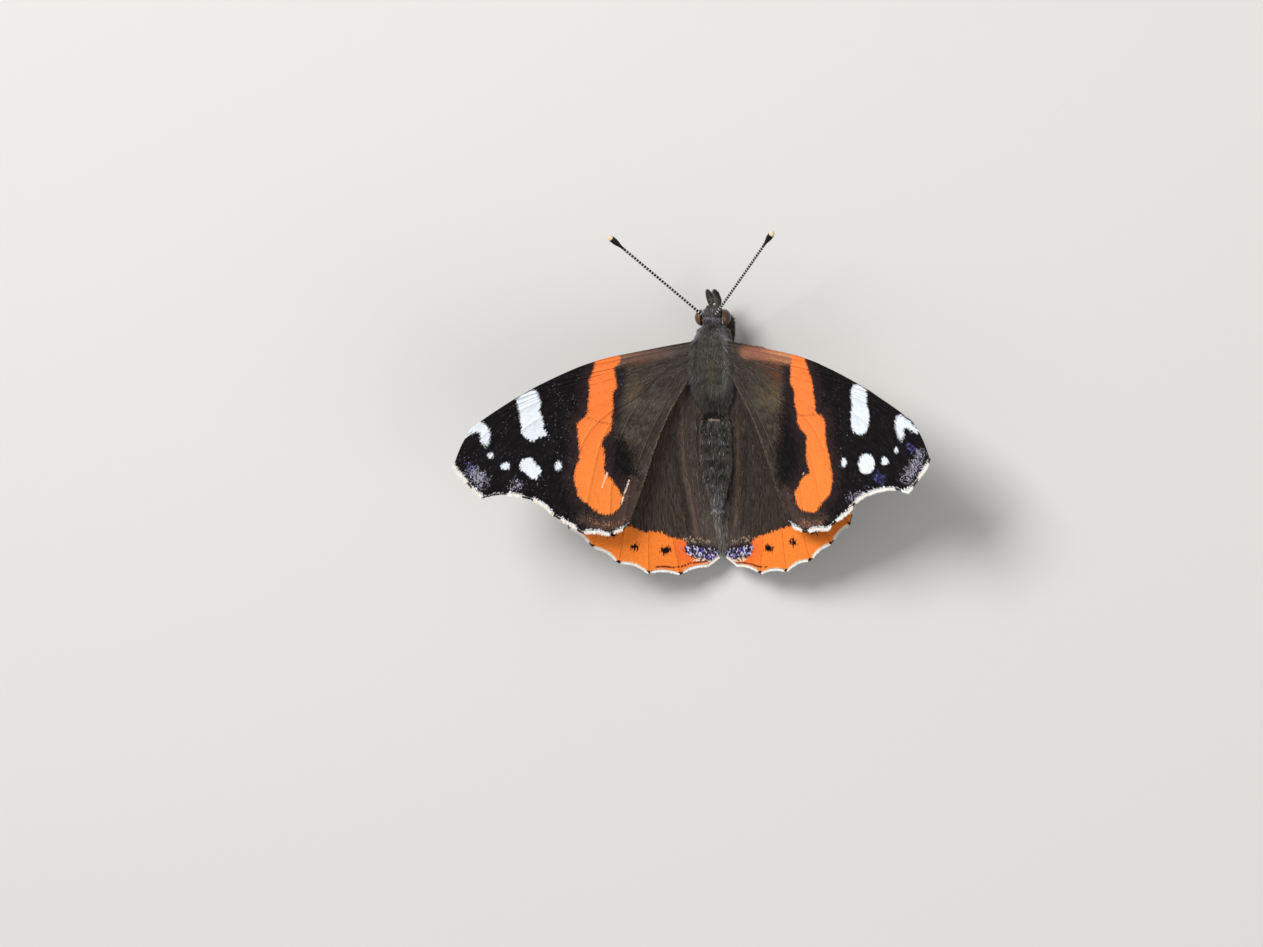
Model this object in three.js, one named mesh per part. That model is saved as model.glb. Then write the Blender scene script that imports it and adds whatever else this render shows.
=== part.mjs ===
import * as THREE from "three";

// Red admiral butterfly, set as a still model: wings half raised, body level, standing on four feet.
// Millimetres, +Z up, +Y toward the head, +X the insect's right. The construction frame has its
// origin on the midline at the height of the forewing hinges; the group is moved to its footprint
// centre and its lowest level at the end.

const FLOOR_LEVEL = -8.0;

// Wings
const MEMBRANE_THICKNESS = 0.5;
const VEIN_HEIGHT = 0.16;
const VEIN_HALF_WIDTH = 0.24;
const VEIN_UNDERSIDE_SHARE = 0.6;
const VEIN_MARGIN_SHARE = 0.45;
const VEIN_RISE_LENGTH = 0.06;
const CREST_FOOT_LIMIT = 0.34;
const RIDGE_STEEPNESS = 0.8;
const WING_ROWS = [0, 0.08, 0.17, 0.27, 0.37, 0.47, 0.58, 0.69, 0.8, 0.91, 1];

const FOREWING_HINGE = [2.9, 0, 0];
const FOREWING_RAISE_DEG = 24.3;
const FOREWING_PITCH_DEG = 5.5;
const FOREWING_SPAN = 29;
const FOREWING_CAMBER = 0.55;
const FOREWING_TIP_DROOP = 0.9;

const HINDWING_HINGE = [2.6, 0, -1.15];
const HINDWING_RAISE_DEG = 19;
const HINDWING_PITCH_DEG = 7;
const HINDWING_SPAN = 24;
const HINDWING_CAMBER = 0.35;
const HINDWING_TIP_DROOP = 0.5;

// Each vein is one curve from the wing root to the margin, in the wing's own plane: outward, forward.
// The curves of one wing have equally many points, so that each wing row crosses them side by side.
// starts: share of the curve where its ridge rises from the membrane; scallop: depth of the notch in
// the margin between this vein's end and the next one (negative bulges outward).
const FOREWING_VEINS = [
  { name: "costal edge", starts: 0, height: 1.1, scallop: 0,
    curve: [[-0.72, 0.15], [1.7, -0.22], [4.0, -0.62], [6.2, -1.0], [8.3, -1.38], [10.3, -1.82], [12.3, -2.42]] },
  { name: "subcosta", starts: 0, height: 0.8, scallop: -0.05,
    curve: [[-0.72, -0.2], [1.9, -0.68], [4.4, -1.14], [6.8, -1.58], [9.2, -2.02], [11.4, -2.42], [13.5, -2.85]] },
  { name: "radius 1", starts: 0.45, height: 0.8, scallop: -0.05,
    curve: [[-0.72, -0.45], [2.8, -1.2], [6.0, -2.05], [9.0, -2.85], [12.2, -3.55], [15.3, -4.25], [18.4, -5.1]] },
  { name: "radius 2", starts: 0.53, height: 0.8, scallop: -0.05,
    curve: [[-0.72, -0.62], [3.2, -1.55], [6.8, -2.55], [10.2, -3.55], [14.0, -4.5], [17.8, -5.55], [21.6, -6.95]] },
  { name: "radius 3", starts: 0.8, height: 0.8, scallop: -0.18,
    curve: [[-0.72, -0.8], [3.7, -1.95], [8.0, -3.22], [12.0, -4.35], [16.6, -5.65], [20.6, -7.2], [26.2, -10.1]] },
  { name: "radius 4", starts: 0.82, height: 0.8, scallop: -0.1,
    curve: [[-0.72, -0.97], [4.0, -2.3], [8.4, -3.62], [12.6, -4.8], [17.3, -6.2], [21.4, -8.0], [28.6, -14.85]] },
  { name: "radius 5", starts: 0, height: 1, scallop: -0.1,
    curve: [[-0.72, -1.15], [4.3, -2.7], [8.8, -4.02], [13.0, -5.2], [17.6, -6.68], [21.6, -8.9], [26.8, -17.0]] },
  { name: "media 1", starts: 0.5, height: 0.9, scallop: 0.45,
    curve: [[-0.72, -1.4], [4.1, -3.3], [8.4, -4.95], [12.6, -6.35], [16.6, -8.1], [20.9, -11.2], [25.0, -18.85]] },
  { name: "media 2", starts: 0.5, height: 0.9, scallop: 0.4,
    curve: [[-0.72, -1.6], [3.8, -3.8], [8.0, -5.95], [12.2, -8.15], [14.9, -11.0], [17.2, -14.5], [19.8, -18.85]] },
  { name: "media 3", starts: 0, height: 1, scallop: 0.12,
    curve: [[-0.72, -1.85], [3.0, -3.75], [6.4, -6.6], [9.6, -8.35], [12.2, -11.0], [14.2, -15.8], [16.4, -21.05]] },
  { name: "cubitus 1", starts: 0.45, height: 1, scallop: 0.2,
    curve: [[-0.72, -2.05], [2.9, -4.1], [6.1, -6.85], [8.7, -8.75], [10.5, -12.0], [11.8, -17.2], [12.9, -23.2]] },
  { name: "cubitus 2", starts: 0.34, height: 1, scallop: 0.06,
    curve: [[-0.72, -2.25], [2.7, -4.4], [5.75, -7.15], [7.5, -9.8], [8.7, -13.6], [9.3, -18.2], [9.4, -23.5]] },
  { name: "anal vein", starts: 0, height: 0.9, scallop: 0,
    curve: [[-0.72, -2.55], [1.1, -4.9], [2.9, -7.95], [4.5, -11.0], [5.7, -13.9], [6.9, -17.6], [7.75, -22.85]] },
  { name: "inner edge", starts: 0, height: 0.7, scallop: 0,
    curve: [[-0.72, -2.9], [0.1, -5.2], [1.6, -7.7], [2.9, -10.4], [4.0, -13.3], [5.5, -17.9], [7.15, -22.25]] },
];

const HINDWING_VEINS = [
  { name: "costal edge", starts: 0, height: 1, scallop: 0,
    curve: [[-0.15, -3.95], [3.4, -4.7], [7.2, -7.0], [10.8, -9.9], [14.7, -14.4]] },
  { name: "subcosta", starts: 0, height: 0.9, scallop: 0.15,
    curve: [[-0.15, -4.15], [3.6, -5.6], [7.8, -8.7], [12.0, -12.3], [16.1, -16.9]] },
  { name: "radial sector", starts: 0, height: 0.9, scallop: 0.25,
    curve: [[-0.15, -4.35], [3.5, -6.55], [7.6, -10.3], [12.2, -14.9], [16.6, -19.7]] },
  { name: "media 1", starts: 0.3, height: 0.9, scallop: 0.3,
    curve: [[-0.15, -4.5], [3.3, -6.9], [7.2, -10.9], [11.3, -16.4], [15.05, -22.6]] },
  { name: "media 2", starts: 0.4, height: 0.9, scallop: 0.35,
    curve: [[-0.15, -4.7], [3.0, -7.5], [6.2, -11.7], [9.4, -17.6], [12.15, -24.95]] },
  { name: "media 3", starts: 0, height: 1, scallop: 0.4,
    curve: [[-0.15, -4.95], [2.5, -8.1], [5.1, -12.8], [7.3, -18.9], [9.0, -26.95]] },
  { name: "cubitus 1", starts: 0.32, height: 1, scallop: 0.35,
    curve: [[-0.15, -5.1], [2.3, -8.45], [4.3, -13.2], [5.1, -19.8], [5.35, -28.25]] },
  { name: "cubitus 2", starts: 0.22, height: 1, scallop: 0.3,
    curve: [[-0.15, -5.3], [1.9, -8.75], [3.0, -13.4], [2.9, -20.2], [1.4, -28.5]] },
  { name: "anal vein", starts: 0, height: 0.9, scallop: 0,
    curve: [[-0.15, -5.6], [0.95, -9.0], [0.75, -14.2], [-0.3, -20.3], [-2.0, -27.5]] },
  { name: "inner edge", starts: 0, height: 0.6, scallop: 0,
    curve: [[-0.2, -5.95], [-0.6, -9.2], [-0.84, -14.2], [-2.7, -20.5], [-3.6, -26.3]] },
];

// Body: stations along Y with the centre height, half width and half height of each section
const BODY_SIDES = 20;
const THORAX_ROUNDNESS = 2.2;
const THORAX_STATIONS = [
  { y: 1.85, z: -2.25, half: 1.2, rise: 1.15 },
  { y: 1.55, z: -2.22, half: 1.65, rise: 1.6 },
  { y: 0.9, z: -2.15, half: 2.0, rise: 1.95 },
  { y: 0.0, z: -2.05, half: 2.25, rise: 2.25 },
  { y: -1.2, z: -2.0, half: 2.42, rise: 2.45 },
  { y: -2.6, z: -2.0, half: 2.45, rise: 2.5 },
  { y: -4.0, z: -2.05, half: 2.3, rise: 2.35 },
  { y: -5.2, z: -2.2, half: 2.0, rise: 2.0 },
  { y: -6.1, z: -2.35, half: 1.65, rise: 1.6 },
  { y: -6.6, z: -2.45, half: 1.25, rise: 1.2 },
];

const ABDOMEN_FRONT = -6.9;
const ABDOMEN_REAR = -19.9;
const ABDOMEN_SEGMENTS = 7;
const ABDOMEN_HALF_WIDTH = 1.95;
const ABDOMEN_HALF_HEIGHT = 1.75;
const ABDOMEN_FRONT_SHARE = 0.62;
const ABDOMEN_TAIL_SHARE = 0.25;
const ABDOMEN_FULL_FROM = 0.28;
const ABDOMEN_FULL_TO = 0.5;
const ABDOMEN_GROOVE = 0.09;
const ABDOMEN_FRONT_LEVEL = -2.4;
const ABDOMEN_REAR_LEVEL = -2.9;

const HEAD_SIDES = 20;
const HEAD_ROUNDNESS = 3.2;
const HEAD_STATIONS = [
  { y: 4.15, z: -2.4, half: 0.6, rise: 0.7 },
  { y: 3.85, z: -2.3, half: 0.95, rise: 1.1 },
  { y: 3.4, z: -2.22, half: 1.1, rise: 1.35 },
  { y: 2.9, z: -2.2, half: 1.12, rise: 1.4 },
  { y: 2.4, z: -2.22, half: 1.0, rise: 1.25 },
  { y: 2.15, z: -2.25, half: 0.75, rise: 0.9 },
];

const EYE_CENTRE = [1.42, 3.05, -2.05];
const EYE_RADIUS = 1.02;
const EYE_BULGE = 0.82;
const EYE_RINGS = 7;
const EYE_SIDES = 20;

// Palps, proboscis, antennae
const TUBE_SIDES = 10;
const PALP_PATH = [[0.5, 4.55, -3.05], [0.54, 5.0, -2.9], [0.52, 5.6, -2.35], [0.46, 6.0, -1.75], [0.4, 6.2, -1.35]];
const PALP_RADII = [0.3, 0.36, 0.33, 0.24, 0.1];

const PROBOSCIS_CENTRE = [4.1, -4.95];
const PROBOSCIS_OUTER = 1.1;
const PROBOSCIS_INNER = 0.3;
const PROBOSCIS_TURNS = 1.25;
const PROBOSCIS_RADIUS = 0.25;
const PROBOSCIS_STEPS = 28;
const PROBOSCIS_START_DEG = 95;

const ANTENNA_ROOTS = { r: [0.8, 3.5, -0.62], l: [1.15, 3.5, -0.72] };
const ANTENNA_TIPS = { r: [10.27, 13.1, 8.05], l: [10.27, 12.95, 8.05] };
const ANTENNA_RADIUS = 0.25;
const ANTENNA_CLUB_RADIUS = 0.42;
const ANTENNA_CLUB_SHARE = 0.84;
const ANTENNA_STEPS = 18;
const ANTENNA_SAG = 0.1;

// Legs: paths for the insect's right side
const LEG_SIDES = 8;
const FORELEG_PATH = [[0.85, 0.7, -4.65], [1.05, 1.7, -4.95], [1.25, 2.85, -5.3], [1.35, 2.2, -5.9],
  [1.3, 0.9, -6.05], [1.2, -0.2, -6.0]];
const FORELEG_RADII = [0.36, 0.38, 0.34, 0.32, 0.28, 0.18];
const TARSUS_RADIUS = 0.27;
const TARSUS_LEVEL = FLOOR_LEVEL + TARSUS_RADIUS * 0.66;
const MIDLEG_PATH = [[1.25, -1.3, -4.75], [1.9, -1.2, -5.15], [3.4, -0.9, -4.9], [5.1, -0.75, -4.55],
  [5.8, -1.1, -5.1], [7.0, -2.3, -6.9], [7.45, -2.9, -7.6], [7.9, -3.6, TARSUS_LEVEL], [8.4, -4.6, TARSUS_LEVEL],
  [8.8, -5.6, TARSUS_LEVEL], [9.1, -6.4, TARSUS_LEVEL]];
const HINDLEG_PATH = [[1.2, -3.7, -4.75], [1.7, -4.3, -5.15], [2.5, -6.1, -4.9], [3.4, -8.4, -4.6],
  [3.9, -9.3, -5.1], [5.2, -12.0, -6.95], [5.7, -13.0, -7.6], [6.0, -13.8, TARSUS_LEVEL], [6.4, -14.9, TARSUS_LEVEL],
  [6.75, -16.0, TARSUS_LEVEL], [7.0, -17.0, TARSUS_LEVEL]];
const LEG_RADII = [0.4, 0.42, 0.4, 0.33, 0.27, 0.26, 0.26, TARSUS_RADIUS, TARSUS_RADIUS, TARSUS_RADIUS, 0.25];

function finish(name, colour, roughness, metalness = 0) {
  const material = new THREE.MeshStandardMaterial({ color: colour, roughness, metalness });
  material.name = name;
  return material;
}

const WING_FINISH = finish("wing_scales", 0x2a211c, 0.7);
const COAT_FINISH = finish("body_hair", 0x3a352d, 0.85);
const EYE_FINISH = finish("eye", 0x4a2c1c, 0.3);
const LEG_FINISH = finish("leg", 0x5b4a38, 0.6);
const ANTENNA_FINISH = finish("antenna", 0x17130f, 0.5);

// A closed solid from rings of equal count; each end is closed by a fan to its centre
function ringSolid(rings, flip) {
  const count = rings[0].length;
  const positions = rings.flat(2);
  const indices = [];
  const face = (a, b, c) => indices.push(...(flip ? [a, c, b] : [a, b, c]));
  for (let ring = 0; ring + 1 < rings.length; ring += 1) {
    for (let side = 0; side < count; side += 1) {
      const next = (side + 1) % count;
      const a = ring * count + side;
      const b = ring * count + next;
      const c = (ring + 1) * count + next;
      const d = (ring + 1) * count + side;
      face(a, b, c);
      face(a, c, d);
    }
  }
  const centreOf = (ring) => [0, 1, 2].map((axis) => ring.reduce((sum, p) => sum + p[axis], 0) / count);
  const first = positions.length / 3;
  positions.push(...centreOf(rings[0]));
  const last = positions.length / 3;
  positions.push(...centreOf(rings[rings.length - 1]));
  const lastRing = (rings.length - 1) * count;
  for (let side = 0; side < count; side += 1) {
    const next = (side + 1) % count;
    face(first, next, side);
    face(last, lastRing + side, lastRing + next);
  }
  return geometryFrom(positions, indices);
}

function geometryFrom(positions, indices) {
  const geometry = new THREE.BufferGeometry();
  geometry.setAttribute("position", new THREE.Float32BufferAttribute(positions, 3));
  geometry.setIndex(indices);
  geometry.computeVertexNormals();
  return geometry;
}

const mirrored = (point, side) => [side * point[0], point[1], point[2]];

const smooth = (value) => {
  const t = Math.min(Math.max(value, 0), 1);
  return t * t * (3 - 2 * t);
};

// Sections of a body along Y: rounded boxes between an ellipse and a rectangle
function sectionRing(station, sides, roundness) {
  const ring = [];
  for (let side = 0; side < sides; side += 1) {
    const angle = (side / sides) * Math.PI * 2;
    const power = 2 / roundness;
    const across = Math.sign(Math.cos(angle)) * Math.abs(Math.cos(angle)) ** power;
    const up = Math.sign(Math.sin(angle)) * Math.abs(Math.sin(angle)) ** power;
    ring.push([station.half * across, station.y, station.z + station.rise * up]);
  }
  return ring;
}

function bodyOf(stations, sides, roundness) {
  return ringSolid(stations.map((station) => sectionRing(station, sides, roundness)), false);
}

function abdomenStations() {
  const stations = [];
  const steps = ABDOMEN_SEGMENTS * 3;
  for (let step = 0; step <= steps; step += 1) {
    const along = step / steps;
    const front = 1 - (1 - ABDOMEN_FRONT_SHARE) * (1 - smooth(along / ABDOMEN_FULL_FROM));
    const taper = Math.max(along - ABDOMEN_FULL_TO, 0) / (1 - ABDOMEN_FULL_TO);
    const swell = front - (1 - ABDOMEN_TAIL_SHARE) * taper ** 2;
    const groove = step % 3 === 0 && step > 0 && step < steps ? ABDOMEN_GROOVE : 0;
    stations.push({
      y: ABDOMEN_FRONT + (ABDOMEN_REAR - ABDOMEN_FRONT) * along,
      z: ABDOMEN_FRONT_LEVEL + (ABDOMEN_REAR_LEVEL - ABDOMEN_FRONT_LEVEL) * smooth(along),
      half: ABDOMEN_HALF_WIDTH * swell - groove,
      rise: ABDOMEN_HALF_HEIGHT * swell - groove,
    });
  }
  return stations;
}

// A half spheroid with its flat face toward the head and its dome outward
function eyeGeometry(side) {
  const rings = [];
  for (let ring = 0; ring < EYE_RINGS; ring += 1) {
    const lift = (ring / EYE_RINGS) * (Math.PI / 2);
    const radius = EYE_RADIUS * Math.cos(lift);
    const out = EYE_CENTRE[0] + EYE_BULGE * Math.sin(lift);
    const points = [];
    for (let turn = 0; turn < EYE_SIDES; turn += 1) {
      const angle = (turn / EYE_SIDES) * Math.PI * 2;
      points.push(mirrored([
        out,
        EYE_CENTRE[1] + radius * Math.cos(angle),
        EYE_CENTRE[2] + radius * Math.sin(angle),
      ], side));
    }
    rings.push(points);
  }
  return ringSolid(rings, side < 0);
}

const UP = new THREE.Vector3(0, 0, 1);
const ACROSS = new THREE.Vector3(1, 0, 0);

// A round limb along a curve; its underside is kept above the floor, which leaves a flat where it rests
function limbGeometry(path, radii, sides, steps, side, reference = UP) {
  const curve = new THREE.CatmullRomCurve3(path.map((p) => new THREE.Vector3(...p)), false, "centripetal");
  const rings = [];
  for (let step = 0; step <= steps; step += 1) {
    const t = step / steps;
    const centre = curve.getPoint(t);
    const tangent = curve.getTangent(t);
    const normal = reference.clone().addScaledVector(tangent, -reference.dot(tangent)).normalize();
    const binormal = new THREE.Vector3().crossVectors(tangent, normal);
    const place = t * (radii.length - 1);
    const lower = Math.min(Math.floor(place), radii.length - 2);
    const radius = radii[lower] + (radii[lower + 1] - radii[lower]) * (place - lower);
    const ring = [];
    for (let turn = 0; turn < sides; turn += 1) {
      const angle = (turn / sides) * Math.PI * 2;
      const offset = normal.clone().multiplyScalar(Math.cos(angle) * radius)
        .addScaledVector(binormal, Math.sin(angle) * radius);
      const point = centre.clone().add(offset);
      ring.push(mirrored([point.x, point.y, Math.max(point.z, FLOOR_LEVEL)], side));
    }
    rings.push(ring);
  }
  return ringSolid(rings, side < 0);
}

function antennaGeometry(suffix, side) {
  const root = ANTENNA_ROOTS[suffix];
  const tip = ANTENNA_TIPS[suffix];
  const path = [];
  const radii = [];
  for (let step = 0; step <= ANTENNA_STEPS; step += 1) {
    const t = step / ANTENNA_STEPS;
    const point = root.map((value, axis) => value + (tip[axis] - value) * t);
    point[2] -= ANTENNA_SAG * Math.sin(Math.PI * t);
    path.push(point);
    const club = smooth((t - ANTENNA_CLUB_SHARE) / (1 - ANTENNA_CLUB_SHARE) * 1.6);
    radii.push(ANTENNA_RADIUS + (ANTENNA_CLUB_RADIUS - ANTENNA_RADIUS) * club);
  }
  radii[radii.length - 1] = ANTENNA_RADIUS;
  return limbGeometry(path, radii, TUBE_SIDES, ANTENNA_STEPS, side);
}

function proboscisGeometry() {
  const path = [];
  const radii = [];
  for (let step = 0; step <= PROBOSCIS_STEPS; step += 1) {
    const t = step / PROBOSCIS_STEPS;
    const angle = THREE.MathUtils.degToRad(PROBOSCIS_START_DEG - 360 * PROBOSCIS_TURNS * t);
    const reach = PROBOSCIS_OUTER + (PROBOSCIS_INNER - PROBOSCIS_OUTER) * t;
    path.push([0, PROBOSCIS_CENTRE[0] + reach * Math.cos(angle), PROBOSCIS_CENTRE[1] + reach * Math.sin(angle)]);
    radii.push(PROBOSCIS_RADIUS);
  }
  return limbGeometry(path, radii, LEG_SIDES, PROBOSCIS_STEPS, 1, ACROSS);
}

// Wings
function veinCurve(points) {
  return new THREE.CatmullRomCurve3(points.map((p) => new THREE.Vector3(p[0], p[1], 0)), false, "centripetal");
}

// Height of the mean surface above the wing's flat plane: a low arch across the wing, tips drooping
function meanLevel(wing, out) {
  const share = Math.min(Math.max(out / wing.span, 0), 1);
  const arch = Math.sin(Math.PI * Math.min(share * 1.1, 1));
  return wing.camber * arch - wing.droop * share * share;
}

function wingPoint(wing, out, forward, level, side) {
  const raise = THREE.MathUtils.degToRad(wing.raise);
  const pitch = THREE.MathUtils.degToRad(wing.pitch);
  const y = forward * Math.cos(pitch) - level * Math.sin(pitch);
  const lift = forward * Math.sin(pitch) + level * Math.cos(pitch);
  const x = out * Math.cos(raise) - lift * Math.sin(raise);
  const z = out * Math.sin(raise) + lift * Math.cos(raise);
  return [side * (wing.hinge[0] + x), wing.hinge[1] + y, wing.hinge[2] + z];
}

// One wing: a grid that runs along the veins. Every vein has a crest column with a foot on either
// side, so its ridge is part of the membrane's own surface, and both faces are split alike.
function wingGeometry(wing, side) {
  const curves = wing.veins.map((vein) => veinCurve(vein.curve));
  const last = curves.length - 1;
  const top = [];
  const bottom = [];
  for (const row of WING_ROWS) {
    const crests = curves.map((curve) => curve.getPoint(row));
    const topRow = [];
    const bottomRow = [];
    const add = (point, ridge) => {
      const level = meanLevel(wing, point.x);
      const half = MEMBRANE_THICKNESS / 2;
      topRow.push(wingPoint(wing, point.x, point.y, level + half + ridge, side));
      bottomRow.push(wingPoint(wing, point.x, point.y, level - half - ridge * VEIN_UNDERSIDE_SHARE, side));
    };
    wing.veins.forEach((vein, index) => {
      const rise = vein.starts > 0 ? smooth((row - vein.starts) / VEIN_RISE_LENGTH) : 1;
      const fade = 1 - (1 - VEIN_MARGIN_SHARE) * smooth((row - 0.5) * 2);
      const ridge = VEIN_HEIGHT * vein.height * rise * fade;
      const crest = crests[index];
      const room = Math.min(...[index - 1, index + 1].map((i) => crest.distanceTo(crests[i] ?? crest)));
      const steepest = RIDGE_STEEPNESS * Math.min(VEIN_HALF_WIDTH, room * CREST_FOOT_LIMIT);
      add(crest, Math.min(ridge, steepest));
      if (index === last) {
        return;
      }
      const next = crests[index + 1];
      const width = crest.distanceTo(next);
      const foot = Math.min(VEIN_HALF_WIDTH / Math.max(width, 1e-6), CREST_FOOT_LIMIT);
      const across = new THREE.Vector3().subVectors(next, crest).normalize();
      const inward = new THREE.Vector3(across.y, -across.x, 0);
      for (const share of [foot, 0.5, 1 - foot]) {
        const point = new THREE.Vector3().lerpVectors(crest, next, share);
        const notch = vein.scallop * smooth((row - 0.8) / 0.2) * Math.sin(Math.PI * share);
        point.addScaledVector(inward, notch);
        add(point, 0);
      }
    });
    top.push(topRow);
    bottom.push(bottomRow);
  }
  return plateGeometry(top, bottom, side < 0);
}

function plateGeometry(top, bottom, flip) {
  const rows = top.length;
  const columns = top[0].length;
  const positions = [...top.flat(2), ...bottom.flat(2)];
  const under = rows * columns;
  const indices = [];
  const at = (row, column) => row * columns + column;
  const face = (a, b, c) => indices.push(...(flip ? [a, c, b] : [a, b, c]));
  for (let row = 0; row + 1 < rows; row += 1) {
    for (let column = 0; column + 1 < columns; column += 1) {
      const a = at(row, column);
      const b = at(row, column + 1);
      const c = at(row + 1, column + 1);
      const d = at(row + 1, column);
      face(a, b, c);
      face(a, c, d);
      face(under + a, under + c, under + b);
      face(under + a, under + d, under + c);
    }
  }
  const rim = [];
  for (let column = 0; column < columns; column += 1) rim.push(at(0, column));
  for (let row = 1; row < rows; row += 1) rim.push(at(row, columns - 1));
  for (let column = columns - 2; column >= 0; column -= 1) rim.push(at(rows - 1, column));
  for (let row = rows - 2; row > 0; row -= 1) rim.push(at(row, 0));
  rim.forEach((here, index) => {
    const next = rim[(index + 1) % rim.length];
    face(here, under + here, under + next);
    face(here, under + next, next);
  });
  return geometryFrom(positions, indices);
}

const FOREWING = { veins: FOREWING_VEINS, hinge: FOREWING_HINGE, raise: FOREWING_RAISE_DEG,
  pitch: FOREWING_PITCH_DEG, span: FOREWING_SPAN, camber: FOREWING_CAMBER, droop: FOREWING_TIP_DROOP };
const HINDWING = { veins: HINDWING_VEINS, hinge: HINDWING_HINGE, raise: HINDWING_RAISE_DEG,
  pitch: HINDWING_PITCH_DEG, span: HINDWING_SPAN, camber: HINDWING_CAMBER, droop: HINDWING_TIP_DROOP };

const butterfly = new THREE.Group();
butterfly.name = "red_admiral";

function addPart(name, geometry, material) {
  const mesh = new THREE.Mesh(geometry, material);
  mesh.name = name;
  butterfly.add(mesh);
}

addPart("thorax", bodyOf(THORAX_STATIONS, BODY_SIDES, THORAX_ROUNDNESS), COAT_FINISH);
addPart("abdomen", bodyOf(abdomenStations(), BODY_SIDES, 2), COAT_FINISH);
addPart("head", bodyOf(HEAD_STATIONS, HEAD_SIDES, HEAD_ROUNDNESS), COAT_FINISH);
addPart("proboscis", proboscisGeometry(), ANTENNA_FINISH);
for (const [suffix, side] of [["r", 1], ["l", -1]]) {
  addPart(`eye_${suffix}`, eyeGeometry(side), EYE_FINISH);
  addPart(`palp_${suffix}`, limbGeometry(PALP_PATH, PALP_RADII, TUBE_SIDES, 8, side), COAT_FINISH);
  addPart(`antenna_${suffix}`, antennaGeometry(suffix, side), ANTENNA_FINISH);
  addPart(`forewing_${suffix}`, wingGeometry(FOREWING, side), WING_FINISH);
  addPart(`hindwing_${suffix}`, wingGeometry(HINDWING, side), WING_FINISH);
  addPart(`foreleg_${suffix}`, limbGeometry(FORELEG_PATH, FORELEG_RADII, LEG_SIDES, 14, side), COAT_FINISH);
  addPart(`midleg_${suffix}`, limbGeometry(MIDLEG_PATH, LEG_RADII, LEG_SIDES, 22, side), LEG_FINISH);
  addPart(`hindleg_${suffix}`, limbGeometry(HINDLEG_PATH, LEG_RADII, LEG_SIDES, 22, side), LEG_FINISH);
}

butterfly.updateMatrixWorld(true);
const extent = new THREE.Box3().setFromObject(butterfly);
butterfly.position.set(-(extent.min.x + extent.max.x) / 2, -(extent.min.y + extent.max.y) / 2, -extent.min.z);

export default butterfly;
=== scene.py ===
"""A red admiral butterfly as a still, life-size model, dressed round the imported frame.

Lengths in the classes are millimetres in the construction frame of the solids: origin on the
midline at the height of the forewing hinges, +X the insect's right, +Y toward the head, +Z up.
BuildFrame turns them into metres in the row frame.
"""

import logging
import math
from dataclasses import dataclass
from enum import Enum

import bpy
import numpy as np
from mathutils import Matrix, Vector


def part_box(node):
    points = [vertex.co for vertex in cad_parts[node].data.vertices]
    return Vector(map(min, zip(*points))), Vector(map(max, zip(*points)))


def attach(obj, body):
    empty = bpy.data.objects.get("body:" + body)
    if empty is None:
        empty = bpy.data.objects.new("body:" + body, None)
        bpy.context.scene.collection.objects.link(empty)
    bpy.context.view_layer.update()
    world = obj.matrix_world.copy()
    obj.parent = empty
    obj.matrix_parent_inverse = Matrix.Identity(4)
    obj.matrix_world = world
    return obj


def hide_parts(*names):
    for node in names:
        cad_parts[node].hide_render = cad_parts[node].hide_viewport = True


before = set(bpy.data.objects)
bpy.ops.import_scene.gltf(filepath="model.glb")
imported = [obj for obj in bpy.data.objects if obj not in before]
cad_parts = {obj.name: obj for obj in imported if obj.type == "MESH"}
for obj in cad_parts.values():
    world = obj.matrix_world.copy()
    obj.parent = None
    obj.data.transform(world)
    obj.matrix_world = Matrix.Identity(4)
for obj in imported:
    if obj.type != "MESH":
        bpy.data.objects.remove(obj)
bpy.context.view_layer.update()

LOG = logging.getLogger("red_admiral")
Points = tuple[tuple[float, float], ...]


class Side(Enum):
    """Which side of the insect a piece belongs to; the value is the sign of X."""

    RIGHT = 1
    LEFT = -1

    @property
    def suffix(self) -> str:
        """Ending of the piece's name, as on the solids."""
        return "r" if self is Side.RIGHT else "l"


class Face(Enum):
    """Which face of a wing a material covers; the value is its material slot."""

    UPPER = 0
    UNDER = 1


def srgb(red: int, green: int, blue: int) -> tuple[float, float, float, float]:
    """Turn a colour as seen on a screen into the linear values that shaders use.

    Args:
        red, green, blue: Channels from 0 to 255.

    Returns:
        The linear colour with full opacity.
    """
    linear = []
    for channel in (red, green, blue):
        share = channel / 255
        linear.append(share / 12.92 if share <= 0.04045 else ((share + 0.055) / 1.055) ** 2.4)
    return (*linear, 1.0)


def smooth(value: np.ndarray | float) -> np.ndarray | float:
    """Ease from 0 to 1, flat at both ends."""
    t = np.clip(value, 0.0, 1.0)
    return t * t * (3 - 2 * t)


def unit(vectors: np.ndarray) -> np.ndarray:
    """Scale each row of an array of vectors to length 1."""
    return vectors / np.maximum(np.linalg.norm(vectors, axis=-1, keepdims=True), 1e-12)


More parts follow.
